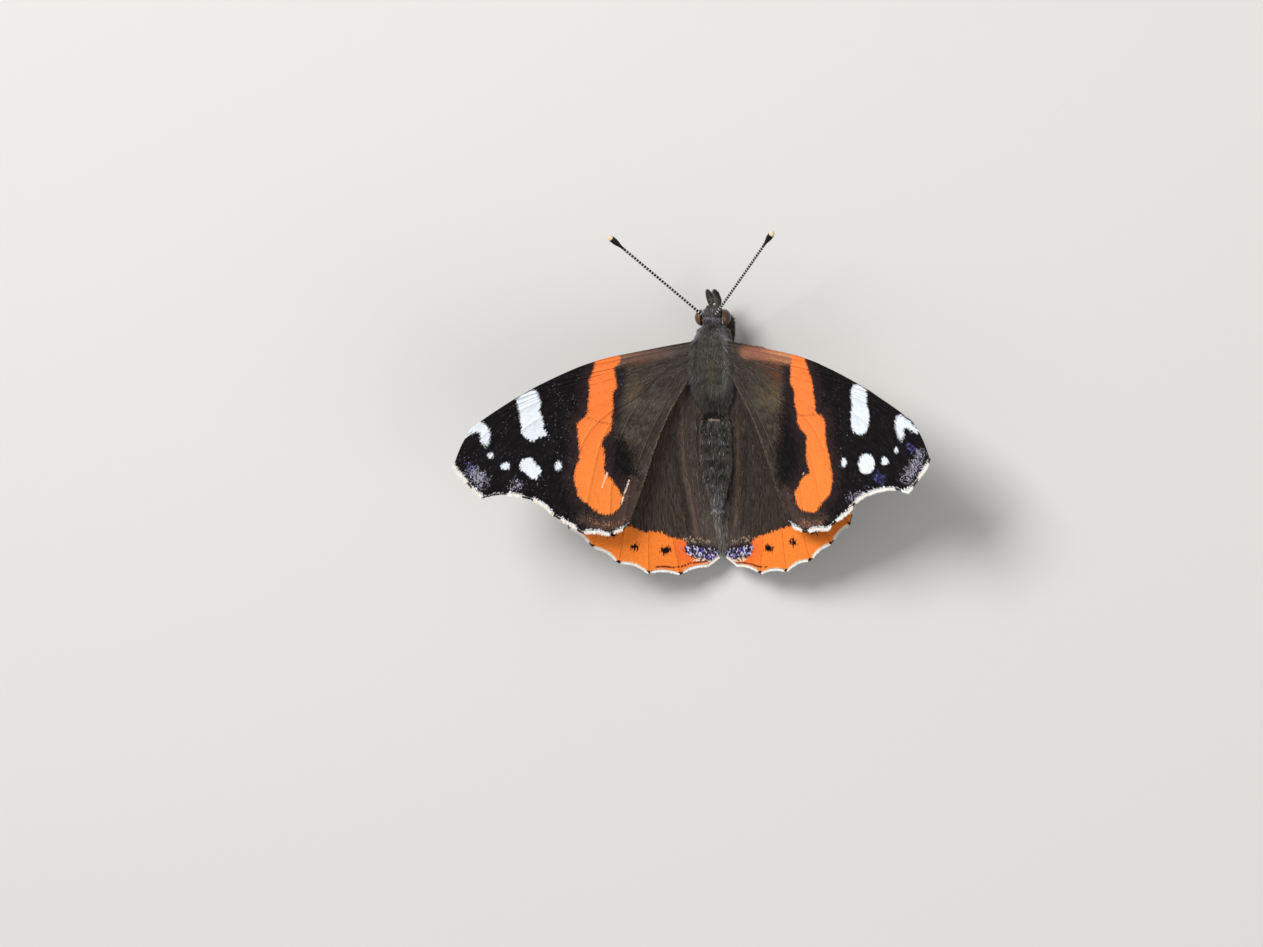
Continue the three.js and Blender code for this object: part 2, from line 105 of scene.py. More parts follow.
def spline(points: np.ndarray, places: np.ndarray) -> np.ndarray:
    """Follow a centripetal Catmull-Rom curve, as the solids do.

    Args:
        points: Control points, one row each.
        places: Shares of the curve from 0 to 1; every span takes the same share.

    Returns:
        One point for each place.
    """
    points = np.asarray(points, float)
    before = 2 * points[0] - points[1]
    after = 2 * points[-1] - points[-2]
    padded = np.vstack([before, points, after])
    spans = len(points) - 1
    scaled = np.clip(places, 0, 1) * spans
    start = np.minimum(np.floor(scaled).astype(int), spans - 1)
    weight = (scaled - start)[:, None]
    p0, p1, p2, p3 = (padded[start + step] for step in range(4))
    d0, d1, d2 = (
        np.maximum(np.linalg.norm(b - a, axis=1, keepdims=True) ** 0.5, 1e-4)
        for a, b in ((p0, p1), (p1, p2), (p2, p3))
    )
    out = ((p1 - p0) / d0 - (p2 - p0) / (d0 + d1) + (p2 - p1) / d1) * d1
    back = ((p2 - p1) / d1 - (p3 - p1) / (d1 + d2) + (p3 - p2) / d2) * d1
    square = weight * weight
    cube = square * weight
    return (
        p1
        + out * weight
        + (-3 * p1 + 3 * p2 - 2 * out - back) * square
        + (2 * p1 - 2 * p2 + out + back) * cube
    )


def rounded(outline: Points, passes: int = 2) -> np.ndarray:
    """Cut the corners of a closed outline so that it runs in a soft curve.

    Args:
        outline: Corners in order.
        passes: How often every corner is cut.

    Returns:
        The corners of the softer outline.
    """
    ring = np.array(outline, float)
    for _ in range(passes):
        following = np.roll(ring, -1, axis=0)
        ring = np.stack([ring * 0.75 + following * 0.25, ring * 0.25 + following * 0.75], axis=1)
        ring = ring.reshape(-1, 2)
    return ring


def inside_by(points: np.ndarray, outline: Points, passes: int = 2) -> np.ndarray:
    """Measure how far points lie inside an outline.

    Args:
        points: Plane points, one row each.
        outline: Corners of the closed outline.
        passes: Rounding passes on the outline.

    Returns:
        The distance to the outline, positive inside and negative outside.
    """
    ring = rounded(outline, passes)
    nearest = np.full(len(points), np.inf)
    within = np.zeros(len(points), bool)
    for start, end in zip(ring, np.roll(ring, -1, axis=0)):
        edge = end - start
        share = np.clip(((points - start) @ edge) / max(edge @ edge, 1e-12), 0, 1)
        nearest = np.minimum(nearest, np.linalg.norm(points - start - share[:, None] * edge, axis=1))
        crosses = (start[1] > points[:, 1]) != (end[1] > points[:, 1])
        rise = edge[1] if abs(edge[1]) > 1e-12 else 1e-12
        meets = start[0] + (points[:, 1] - start[1]) / rise * edge[0]
        within ^= crosses & (points[:, 0] < meets)
    return np.where(within, nearest, -nearest)


def line_distance(points: np.ndarray, line: np.ndarray) -> np.ndarray:
    """Measure the distance from points to an open polyline.

    Args:
        points: Points, one row each.
        line: The polyline's corners, one row each.

    Returns:
        The shortest distance for each point.
    """
    nearest = np.full(len(points), np.inf)
    for start, end in zip(line[:-1], line[1:]):
        edge = end - start
        share = np.clip(((points - start) @ edge) / max(edge @ edge, 1e-12), 0, 1)
        nearest = np.minimum(nearest, np.linalg.norm(points - start - share[:, None] * edge, axis=1))
    return nearest


@dataclass(frozen=True)
class BuildFrame:
    """Place of the construction origin in the row frame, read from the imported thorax."""

    shift: tuple[float, float, float]

    THORAX_FRONT = 1.85
    THORAX_BOTTOM = -4.5

    @classmethod
    def from_thorax(cls) -> "BuildFrame":
        """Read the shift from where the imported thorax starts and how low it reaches."""
        low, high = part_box("thorax")
        return cls((0.0, high[1] * 1000 - cls.THORAX_FRONT, low[2] * 1000 - cls.THORAX_BOTTOM))

    def metres(self, points: np.ndarray) -> np.ndarray:
        """Turn construction millimetres into metres in the row frame."""
        return (np.asarray(points, float) + np.array(self.shift)) * 0.001


BUILD = BuildFrame.from_thorax()


def mesh_object(
    name: str,
    points: np.ndarray,
    faces: np.ndarray,
    materials: list[bpy.types.Material],
    slots: np.ndarray | None = None,
) -> bpy.types.Object:
    """Make a mesh object from arrays, with its place in its mesh.

    Args:
        name: Name of the piece.
        points: Construction points in millimetres, one row each.
        faces: Point numbers of triangles or quads, one row a face.
        materials: Materials of the piece's slots.
        slots: Material slot of each face, or None for the first.

    Returns:
        The object, linked to the scene.
    """
    mesh = bpy.data.meshes.new(name)
    count, corners = faces.shape
    mesh.vertices.add(len(points))
    mesh.vertices.foreach_set("co", BUILD.metres(points).astype(np.float32).ravel())
    mesh.loops.add(count * corners)
    mesh.loops.foreach_set("vertex_index", faces.astype(np.int32).ravel())
    mesh.polygons.add(count)
    mesh.polygons.foreach_set("loop_start", np.arange(0, count * corners, corners, dtype=np.int32))
    mesh.polygons.foreach_set("use_smooth", np.ones(count, bool))
    for material in materials:
        mesh.materials.append(material)
    if slots is not None:
        mesh.polygons.foreach_set("material_index", slots.astype(np.int32))
    mesh.update(calc_edges=True)
    mesh.validate()
    piece = bpy.data.objects.new(name, mesh)
    bpy.context.scene.collection.objects.link(piece)
    return piece


def set_number(piece: bpy.types.Object, name: str, values: np.ndarray) -> None:
    """Store one number for each point of a piece under a name."""
    attribute = piece.data.attributes.new(name, "FLOAT", "POINT")
    attribute.data.foreach_set("value", np.asarray(values, np.float32))


def set_vector(piece: bpy.types.Object, name: str, values: np.ndarray) -> None:
    """Store one vector for each point of a piece under a name."""
    attribute = piece.data.attributes.new(name, "FLOAT_VECTOR", "POINT")
    attribute.data.foreach_set("vector", np.asarray(values, np.float32).ravel())


def set_bake_map(piece: bpy.types.Object, places: np.ndarray) -> None:
    """Store the piece's bake map from one map place for each point.

    Args:
        piece: The piece.
        places: Map place of each point, one row each, from 0 to 1.
    """
    layer = piece.data.uv_layers.new(name="OFBake")
    corner_points = np.zeros(len(piece.data.loops), np.int32)
    piece.data.loops.foreach_get("vertex_index", corner_points)
    layer.data.foreach_set("uv", places[corner_points].astype(np.float32).ravel())


def settle(piece: bpy.types.Object, nodes: list[str]) -> bpy.types.Object:
    """Hand a finished piece to the frame.

    Args:
        piece: The finished piece.
        nodes: Solids that it stands for.

    Returns:
        The same piece.
    """
    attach(piece, "root")
    if nodes:
        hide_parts(*nodes)
    piece.data.calc_loop_triangles()
    LOG.info("%s: %d triangles", piece.name, len(piece.data.loop_triangles))
    return piece


# Fields that tint both hair and skin; olive carries the painted sheen on the thorax.
COAT_FIELDS = ("grey", "lilac", "cream", "olive", "dark")


class NodePen:
    """Writes the shader nodes of one material."""

    def __init__(self, name: str, roughness: float, specular: float, sheen: float = 0.0) -> None:
        """Start a material with one shader.

        Args:
            name: Name of the material.
            roughness: Roughness of the shader.
            specular: Specular level of the shader.
            sheen: Weight of the velvety sheen.
        """
        self.material = bpy.data.materials.new(name)
        self.material.use_nodes = True
        self.tree = self.material.node_tree
        self.shader = next(n for n in self.tree.nodes if n.type == "BSDF_PRINCIPLED")
        self.shader.inputs["Roughness"].default_value = roughness
        self.shader.inputs["Specular IOR Level"].default_value = specular
        self.shader.inputs["Sheen Weight"].default_value = sheen
        self.shader.inputs["Sheen Roughness"].default_value = 0.5

    def feed(self, socket: bpy.types.NodeSocket, value: object) -> None:
        """Link or set one input socket."""
        if isinstance(value, bpy.types.NodeSocket):
            self.tree.links.new(value, socket)
        else:
            socket.default_value = value

    def number(self, name: str) -> bpy.types.NodeSocket:
        """Read a number stored on the piece."""
        node = self.tree.nodes.new("ShaderNodeAttribute")
        node.attribute_name = name
        return node.outputs["Fac"]

    def vector(self, name: str) -> bpy.types.NodeSocket:
        """Read a vector stored on the piece."""
        node = self.tree.nodes.new("ShaderNodeAttribute")
        node.attribute_name = name
        return node.outputs["Vector"]

    def place(self) -> bpy.types.NodeSocket:
        """Read the place on the object."""
        node = self.tree.nodes.new("ShaderNodeTexCoord")
        return node.outputs["Object"]

    def stretched(self, vector: object, scale: tuple[float, float, float]) -> bpy.types.NodeSocket:
        """Stretch a place along its axes."""
        node = self.tree.nodes.new("ShaderNodeMapping")
        self.feed(node.inputs["Vector"], vector)
        node.inputs["Scale"].default_value = scale
        return node.outputs["Vector"]

    def math(self, operation: str, first: object, second: object = 0.0) -> bpy.types.NodeSocket:
        """Work out one sum of two numbers."""
        node = self.tree.nodes.new("ShaderNodeMath")
        node.operation = operation
        self.feed(node.inputs[0], first)
        self.feed(node.inputs[1], second)
        return node.outputs[0]

    def ramp(self, value: object, low: float, high: float) -> bpy.types.NodeSocket:
        """Ease from 0 at the low value to 1 at the high one."""
        node = self.tree.nodes.new("ShaderNodeMapRange")
        node.interpolation_type = "SMOOTHSTEP"
        self.feed(node.inputs["Value"], value)
        node.inputs["From Min"].default_value = low
        node.inputs["From Max"].default_value = high
        return node.outputs["Result"]

    def total(self, *terms: tuple[object, float, float], base: float = 0.0) -> bpy.types.NodeSocket:
        """Add up terms of a value, its middle and its weight.

        Args:
            terms: For each term the value, the middle taken from it and its weight.
            base: Number that the sum starts from.

        Returns:
            The sum.
        """
        result: object = base
        for value, middle, weight in terms:
            part = self.math("MULTIPLY", self.math("SUBTRACT", value, middle), weight)
            result = self.math("ADD", result, part)
        return result

    def tinted(self, colour: object, finish: object) -> bpy.types.NodeSocket:
        """Mix in the body's colours by its fields.

        Args:
            colour: Colour where no field is set.
            finish: Finish that has one colour of the same name for each field.

        Returns:
            The mixed colour.
        """
        for field in COAT_FIELDS:
            colour = self.mix(self.number(field), colour, getattr(finish, field))
        return colour

    def level(self, name: str, jitter: object, low: float, high: float,
            most: float = 1.0) -> bpy.types.NodeSocket:
        """Share of a marking whose stored depth is made ragged.

        Args:
            name: Name of the marking.
            jitter: Number added to the depth.
            low: Depth at which the marking starts.
            high: Depth at which it is full.
            most: Share where it is full.

        Returns:
            The share.
        """
        share = self.ramp(self.math("ADD", self.number(name), jitter), low, high)
        return self.math("MULTIPLY", share, most) if most < 1 else share

    def mix(self, share: object, first: object, second: object) -> bpy.types.NodeSocket:
        """Mix two colours by a share."""
        node = self.tree.nodes.new("ShaderNodeMix")
        node.data_type = "RGBA"
        self.feed(node.inputs[0], share)
        self.feed(node.inputs[6], first)
        self.feed(node.inputs[7], second)
        return node.outputs[2]

    def shade(self, colour: object, strength: object) -> bpy.types.NodeSocket:
        """Multiply a colour by a number."""
        node = self.tree.nodes.new("ShaderNodeMix")
        node.data_type = "RGBA"
        node.blend_type = "MULTIPLY"
        node.inputs[0].default_value = 1.0
        self.feed(node.inputs[6], colour)
        grey = self.tree.nodes.new("ShaderNodeCombineColor")
        for channel in range(3):
            self.feed(grey.inputs[channel], strength)
        self.feed(node.inputs[7], grey.outputs[0])
        return node.outputs[2]

    def noise(self, vector: object, scale: float, detail: float = 2.0,
            rough: float = 0.5) -> bpy.types.NodeSocket:
        """Read soft noise at a place."""
        node = self.tree.nodes.new("ShaderNodeTexNoise")
        self.feed(node.inputs["Vector"], vector)
        node.inputs["Scale"].default_value = scale
        node.inputs["Detail"].default_value = detail
        node.inputs["Roughness"].default_value = rough
        return node.outputs[0]

    def grains(self, vector: object, scale: float) -> bpy.types.NodeSocket:
        """Read one chance number for each small cell, such as a wing scale."""
        node = self.tree.nodes.new("ShaderNodeTexVoronoi")
        self.feed(node.inputs["Vector"], vector)
        node.inputs["Scale"].default_value = scale
        split = self.tree.nodes.new("ShaderNodeSeparateColor")
        self.tree.links.new(node.outputs["Color"], split.inputs[0])
        return split.outputs[0]

    def cells(self, vector: object, scale: float) -> bpy.types.NodeSocket:
        """Read the distance to the nearest cell centre."""
        node = self.tree.nodes.new("ShaderNodeTexVoronoi")
        self.feed(node.inputs["Vector"], vector)
        node.inputs["Scale"].default_value = scale
        return node.outputs["Distance"]

    def bump(self, height: object, strength: float, distance: float) -> None:
        """Raise the shader's normal by a height.

        Args:
            height: Height from 0 to 1.
            strength: Strength of the effect.
            distance: Real height of 1, in millimetres.
        """
        node = self.tree.nodes.new("ShaderNodeBump")
        node.inputs["Strength"].default_value = strength
        node.inputs["Distance"].default_value = distance * 0.001
        self.feed(node.inputs["Height"], height)
        self.tree.links.new(node.outputs["Normal"], self.shader.inputs["Normal"])

    def done(self, colour: object) -> bpy.types.Material:
        """Give the shader its colour and return the material."""
        self.feed(self.shader.inputs["Base Color"], colour)
        return self.material


@dataclass(frozen=True)
class Vein:
    """One ray of a wing: a vein or an edge, from the root to the margin."""

    name: str
    starts: float
    height: float
    scallop: float
    curve: Points


@dataclass(frozen=True)
class WingPlan:
    """Plan, hinge and set of one pair of wings, as on the solids."""

    name: str
    veins: tuple[Vein, ...]
    hinge: tuple[float, float, float]
    raise_deg: float
    pitch_deg: float
    span: float
    camber: float
    droop: float
    fringe_from: int
    fringe: float
    pale_rim: float

    def level(self, out: np.ndarray) -> np.ndarray:
        """Height of the arched mean surface above the wing's flat plane."""
        share = np.clip(out / self.span, 0, 1)
        return self.camber * np.sin(np.pi * np.minimum(share * 1.1, 1)) - self.droop * share * share

    def placed(self, plane: np.ndarray, level: np.ndarray, side: Side) -> np.ndarray:
        """Take plane points to the construction frame.

        Args:
            plane: Points in the wing's plane: outward, forward.
            level: Height of each point above the flat plane.
            side: The wing's side.

        Returns:
            Construction points, one row each.
        """
        lift_angle = math.radians(self.raise_deg)
        pitch = math.radians(self.pitch_deg)
        out, forward = plane[..., 0], plane[..., 1]
        along = forward * math.cos(pitch) - level * math.sin(pitch)
        lift = forward * math.sin(pitch) + level * math.cos(pitch)
        across = out * math.cos(lift_angle) - lift * math.sin(lift_angle)
        height = out * math.sin(lift_angle) + lift * math.cos(lift_angle)
        return np.stack(
            [
                side.value * (self.hinge[0] + across),
                self.hinge[1] + along,
                self.hinge[2] + height,
            ],
            axis=-1,
        )


FOREWING_PLAN = WingPlan(
    name="forewing",
    veins=(
        Vein("costal edge", 0, 1.1, 0, (
            (-0.72, 0.15), (1.7, -0.22), (4.0, -0.62), (6.2, -1.0), (8.3, -1.38), (10.3, -1.82),
            (12.3, -2.42))),
        Vein("subcosta", 0, 0.8, -0.05, (
            (-0.72, -0.2), (1.9, -0.68), (4.4, -1.14), (6.8, -1.58), (9.2, -2.02), (11.4, -2.42),
            (13.5, -2.85))),
        Vein("radius 1", 0.45, 0.8, -0.05, (
            (-0.72, -0.45), (2.8, -1.2), (6.0, -2.05), (9.0, -2.85), (12.2, -3.55), (15.3, -4.25),
            (18.4, -5.1))),
        Vein("radius 2", 0.53, 0.8, -0.05, (
            (-0.72, -0.62), (3.2, -1.55), (6.8, -2.55), (10.2, -3.55), (14.0, -4.5), (17.8, -5.55),
            (21.6, -6.95))),
        Vein("radius 3", 0.8, 0.8, -0.18, (
            (-0.72, -0.8), (3.7, -1.95), (8.0, -3.22), (12.0, -4.35), (16.6, -5.65), (20.6, -7.2),
            (26.2, -10.1))),
        Vein("radius 4", 0.82, 0.8, -0.1, (
            (-0.72, -0.97), (4.0, -2.3), (8.4, -3.62), (12.6, -4.8), (17.3, -6.2), (21.4, -8.0),
            (28.6, -14.85))),
        Vein("radius 5", 0, 1, -0.1, (
            (-0.72, -1.15), (4.3, -2.7), (8.8, -4.02), (13.0, -5.2), (17.6, -6.68), (21.6, -8.9),
            (26.8, -17.0))),
        Vein("media 1", 0.5, 0.9, 0.45, (
            (-0.72, -1.4), (4.1, -3.3), (8.4, -4.95), (12.6, -6.35), (16.6, -8.1), (20.9, -11.2),
            (25.0, -18.85))),
        Vein("media 2", 0.5, 0.9, 0.4, (
            (-0.72, -1.6), (3.8, -3.8), (8.0, -5.95), (12.2, -8.15), (14.9, -11.0), (17.2, -14.5),
            (19.8, -18.85))),
        Vein("media 3", 0, 1, 0.12, (
            (-0.72, -1.85), (3.0, -3.75), (6.4, -6.6), (9.6, -8.35), (12.2, -11.0), (14.2, -15.8),
            (16.4, -21.05))),
        Vein("cubitus 1", 0.45, 1, 0.2, (
            (-0.72, -2.05), (2.9, -4.1), (6.1, -6.85), (8.7, -8.75), (10.5, -12.0), (11.8, -17.2),
            (12.9, -23.2))),
        Vein("cubitus 2", 0.34, 1, 0.06, (
            (-0.72, -2.25), (2.7, -4.4), (5.75, -7.15), (7.5, -9.8), (8.7, -13.6), (9.3, -18.2),
            (9.4, -23.5))),
        Vein("anal vein", 0, 0.9, 0, (
            (-0.72, -2.55), (1.1, -4.9), (2.9, -7.95), (4.5, -11.0), (5.7, -13.9), (6.9, -17.6),
            (7.75, -22.85))),
        Vein("inner edge", 0, 0.7, 0, (
            (-0.72, -2.9), (0.1, -5.2), (1.6, -7.7), (2.9, -10.4), (4.0, -13.3), (5.5, -17.9),
            (7.15, -22.25))),
    ),
    hinge=(2.9, 0.0, 0.0),
    raise_deg=24.3,
    pitch_deg=5.5,
    span=29.0,
    camber=0.55,
    droop=0.9,
    fringe_from=5,
    fringe=0.42,
    pale_rim=0.16,
)

HINDWING_PLAN = WingPlan(
    name="hindwing",
    veins=(
        Vein("costal edge", 0, 1, 0, (
            (-0.15, -3.95), (3.4, -4.7), (7.2, -7.0), (10.8, -9.9), (14.7, -14.4))),
        Vein("subcosta", 0, 0.9, 0.15, (
            (-0.15, -4.15), (3.6, -5.6), (7.8, -8.7), (12.0, -12.3), (16.1, -16.9))),
        Vein("radial sector", 0, 0.9, 0.25, (
            (-0.15, -4.35), (3.5, -6.55), (7.6, -10.3), (12.2, -14.9), (16.6, -19.7))),
        Vein("media 1", 0.3, 0.9, 0.3, (
            (-0.15, -4.5), (3.3, -6.9), (7.2, -10.9), (11.3, -16.4), (15.05, -22.6))),
        Vein("media 2", 0.4, 0.9, 0.35, (
            (-0.15, -4.7), (3.0, -7.5), (6.2, -11.7), (9.4, -17.6), (12.15, -24.95))),
        Vein("media 3", 0, 1, 0.4, (
            (-0.15, -4.95), (2.5, -8.1), (5.1, -12.8), (7.3, -18.9), (9.0, -26.95))),
        Vein("cubitus 1", 0.32, 1, 0.35, (
            (-0.15, -5.1), (2.3, -8.45), (4.3, -13.2), (5.1, -19.8), (5.35, -28.25))),
        Vein("cubitus 2", 0.22, 1, 0.3, (
            (-0.15, -5.3), (1.9, -8.75), (3.0, -13.4), (2.9, -20.2), (1.4, -28.5))),
        Vein("anal vein", 0, 0.9, 0, (
            (-0.15, -5.6), (0.95, -9.0), (0.75, -14.2), (-0.3, -20.3), (-2.0, -27.5))),
        Vein("inner edge", 0, 0.6, 0, (
            (-0.2, -5.95), (-0.6, -9.2), (-0.84, -14.2), (-2.7, -20.5), (-3.6, -26.3))),
    ),
    hinge=(2.6, 0.0, -1.15),
    raise_deg=19.0,
    pitch_deg=7.0,
    span=24.0,
    camber=0.35,
    droop=0.5,
    fringe_from=1,
    fringe=0.3,
    pale_rim=0.12,
)


@dataclass(frozen=True)
class PhotoView:
    """Where the photograph was taken from, and where it shows a construction point."""

    width: float = 1263.0
    height: float = 947.0
    scale: float = 8.25
    centre: tuple[float, float] = (709.0, 342.5)
    reach: float = 1500.0
    tilt_deg: float = 15.0
    roll_deg: float = 0.8

    def axes(self) -> np.ndarray:
        """The view's right, up and back ways, one row each."""
        tilt, roll = math.radians(self.tilt_deg), math.radians(self.roll_deg)
        lean = np.array([[math.cos(tilt), 0, -math.sin(tilt)], [0, 1, 0],
            [math.sin(tilt), 0, math.cos(tilt)]])
        spin = np.array([[math.cos(roll), -math.sin(roll), 0], [math.sin(roll), math.cos(roll), 0],
            [0, 0, 1]])
        return spin @ lean

    def seen(self, points: np.ndarray) -> np.ndarray:
        """Pixels of construction points.

        Args:
            points: Construction points, one row each.

        Returns:
            Pixels from the photo's top left corner, one row each.
        """
        right, up, back = (points @ self.axes().T).T
        near = self.reach / (self.reach - back)
        return np.stack([self.centre[0] + self.scale * right * near,
            self.centre[1] - self.scale * up * near], axis=1)


VIEW = PhotoView()


@dataclass(frozen=True)
class Reading:
    """Points read on the photo, or on an enlarged part of it, and taken to a wing's plane."""

    plan: WingPlan
    side: Side
    left: float = 0.0
    top: float = 0.0
    zoom: float = 1.0

    SKIN = 0.1
    STEP = 0.01
    ROUNDS = 8

    def plane(self, *marks: tuple[float, float]) -> Points:
        """Find the wing-plane points that the photo shows at the readings.

        Args:
            marks: Readings in pixels of the enlarged part.

        Returns:
            Points in the wing's plane, to a hundredth of a millimetre.
        """
        pixels = np.array([self.left, self.top]) + np.array(marks, dtype=float) / self.zoom
        flat = np.stack([np.abs(pixels[:, 0] - VIEW.centre[0]), VIEW.centre[1] - pixels[:, 1]],
            axis=1) / VIEW.scale
        for _ in range(self.ROUNDS):
            here = self.shown(flat)
            slopes = [(self.shown(flat + self.STEP * axis) - here) / self.STEP for axis in np.eye(2)]
            flat = flat + np.linalg.solve(np.stack(slopes, axis=2), (pixels - here)[:, :, None])[:, :, 0]
        return tuple((float(out), float(forward)) for out, forward in np.round(flat, 2))

    def shown(self, flat: np.ndarray) -> np.ndarray:
        """Pixels at which the photo shows plane points of the wing's upper face."""
        return VIEW.seen(self.plan.placed(flat, self.plan.level(flat[:, 0]) + self.SKIN, self.side))


FORE_LEFT = Reading(FOREWING_PLAN, Side.LEFT)
FORE_RIGHT = Reading(FOREWING_PLAN, Side.RIGHT)
HIND_LEFT = Reading(HINDWING_PLAN, Side.LEFT)
HIND_RIGHT = Reading(HINDWING_PLAN, Side.RIGHT)
FORE_LEFT_CLOSE = Reading(FOREWING_PLAN, Side.LEFT, 440, 330, 6.815)
FORE_RIGHT_CLOSE = Reading(FOREWING_PLAN, Side.RIGHT, 735, 335, 7.3)
HIND_LEFT_CLOSE = Reading(HINDWING_PLAN, Side.LEFT, 560, 500, 4.9)


@dataclass(frozen=True)
class Marking:
    """One coloured field of a wing face: outlines in the wing's plane for each side."""

    name: str
    right: tuple[Points, ...]
    left: tuple[Points, ...]

    def depth(self, plane: np.ndarray, side: Side) -> np.ndarray:
        """How far points lie inside the field; negative outside."""
        outlines = self.right if side is Side.RIGHT else self.left
        return np.max([inside_by(plane, outline) for outline in outlines], axis=0)


@dataclass(frozen=True)
class Stroke:
    """Lines of one width drawn on a wing face: a polyline set for each side."""

    name: str
    right: tuple[Points, ...]
    left: tuple[Points, ...]
    half_width: float

    def depth(self, plane: np.ndarray, side: Side) -> np.ndarray:
        """How far points lie inside the stroke; negative outside."""
        lines = self.right if side is Side.RIGHT else self.left
        return self.half_width - np.min([line_distance(plane, np.array(line)) for line in lines], axis=0)


def spot(out: float, forward: float, half_out: float, half_forward: float) -> Points:
    """Outline of an oval spot.

    Args:
        out, forward: Centre of the spot in the wing's plane.
        half_out, half_forward: Half widths of the spot.

    Returns:
        Twelve corners in order.
    """
    turns = [2 * math.pi * step / 12 for step in range(12)]
    return tuple((out + half_out * math.cos(a), forward + half_forward * math.sin(a)) for a in turns)


FOREWING_BAND = Marking(
    name="orange",
    right=(((9.3, -2.4), (9.6, -1.4), (10.9, -1.4), (11.5, -2.2))
        + FORE_RIGHT_CLOSE.plane((520, 240), (550, 310), (570, 420), (580, 540), (590, 580), (640, 600),
            (655, 650), (650, 740), (660, 800), (690, 930), (710, 1010), (700, 1110), (690, 1170),
            (640, 1215), (600, 1285), (570, 1305), (500, 1290), (455, 1260), (430, 1170),
            (430, 1150), (470, 1100), (480, 1050), (530, 1020), (545, 1010), (520, 940),
            (515, 870), (520, 790), (520, 740), (490, 710), (450, 640), (450, 570), (430, 510),
            (430, 400), (400, 370))
        + ((9.13, -2.9),),),
    left=(((8.6, -2.6), (8.0, -2.0), (8.4, -1.1), (10.3, -1.2), (11.3, -1.6))
        + FORE_LEFT_CLOSE.plane((1050, 285), (1015, 330), (1020, 400), (1012, 500), (1003, 585), (940, 628),
            (930, 650), (945, 740), (955, 830), (930, 930), (910, 1000), (930, 1090), (955, 1150),
            (1010, 1190), (1050, 1225), (1100, 1260), (1160, 1260), (1215, 1225), (1235, 1180),
            (1243, 1130), (1225, 1100), (1195, 1050), (1165, 1010), (1130, 980), (1118, 935),
            (1125, 880), (1115, 810), (1100, 770), (1110, 745), (1155, 700), (1175, 650),
            (1170, 580), (1185, 520), (1175, 440), (1190, 410), (1210, 400), (1200, 360),
            (1195, 300), (1180, 260)),),
)

FOREWING_STREAK = Marking(
    name="streak",
    right=(((10.6, -1.6), (10.4, -2.5), (9.1, -2.7), (7.0, -2.35), (3.73, -2.0))
        + FORE_RIGHT_CLOSE.plane((40, 170))
        + ((0.6, -1.2),)
        + FORE_RIGHT_CLOSE.plane((40, 80))
        + ((4.98, -0.7),)
        + FORE_RIGHT_CLOSE.plane((400, 130)),),
    left=(((10.6, -1.7), (10.3, -2.5), (8.74, -2.75), (6.84, -2.1), (3.6, -1.7), (1.26, -1.6), (0.6, -1.1))
        + FORE_RIGHT_CLOSE.plane((40, 80))
        + ((4.98, -0.7),)
        + FORE_RIGHT_CLOSE.plane((400, 130)),),
)

FOREWING_WHITE = Marking(
    name="white",
    right=(
        FORE_RIGHT_CLOSE.plane((875, 360), (940, 400), (960, 440), (950, 500), (975, 590), (965, 700),
            (910, 745), (840, 705), (840, 600), (850, 540), (838, 470), (845, 390)),
        spot(16.1, -14.79, 0.42, 0.55),
        ((19.0, -13.8), (19.9, -13.9), (20.6, -14.8), (20.3, -15.9), (19.2, -16.4), (18.3, -15.9),
            (18.1, -14.7)),
        spot(21.98, -14.74, 0.48, 0.5),
        spot(23.65, -13.5, 0.31, 0.4),
    ),
    left=(
        FORE_LEFT_CLOSE.plane((640, 403), (665, 430), (668, 460), (685, 480), (688, 520), (675, 545),
            (690, 590), (705, 630), (705, 675), (720, 690), (735, 710), (722, 725), (680, 730),
            (660, 745), (630, 765), (600, 745), (560, 715), (550, 680), (560, 650), (540, 620),
            (550, 590), (535, 545), (525, 505), (520, 480), (540, 455)),
        spot(15.71, -14.74, 0.4, 0.52),
        FORE_LEFT_CLOSE.plane((590, 868), (620, 870), (645, 905), (680, 935), (688, 960), (680, 990),
            (650, 1018), (625, 1018), (600, 990), (560, 960), (540, 930), (560, 890)),
        spot(22.09, -14.7, 0.54, 0.45),
        spot(23.87, -13.41, 0.36, 0.38),
    ),
)

FOREWING_LILAC = Marking(
    name="lilac",
    right=(
        FORE_RIGHT.plane((919.6, 450.2), (924, 456.8), (921.8, 466.7), (916.3, 473.3), (910.7, 482.1),
            (903, 484.4), (899, 479.9), (904.1, 471.1), (911.8, 462.3), (914, 453.5)),
    ),
    left=(
        FORE_LEFT.plane((466.9, 464.8), (477.3, 468.3), (487.6, 474), (488.8, 481), (483, 489),
            (475, 485.6), (469.2, 477.5), (464.6, 470.6)),
    ),
)

FOREWING_DUST = Marking(
    name="dust",
    right=(
        FORE_RIGHT.plane((872.2, 488.8))
        + ((22.2, -18.0),)
        + FORE_RIGHT.plane((896.4, 495.4), (881, 494.3), (861.1, 499.8), (852.3, 504.2), (843.5, 497.6),
            (856.7, 493.2)),
    ),
    left=(FORE_LEFT.plane((514.1, 479.8), (521, 479.8), (524.5, 489), (514.1, 493.6), (506, 491.3),
            (509.5, 486.7)),),
)

FOREWING_BLUE = Marking(
    name="flake_blue",
    right=(FORE_RIGHT.plane((872.1, 475.5), (882.1, 477.7), (881, 484.4), (874.4, 483.3)),
           ((25.3, -12.8), (26.2, -13.2), (25.6, -14.0))),
    left=(((26.9, -14.6), (26.3, -14.6), (26.0, -15.2), (26.8, -15.2)),),
)

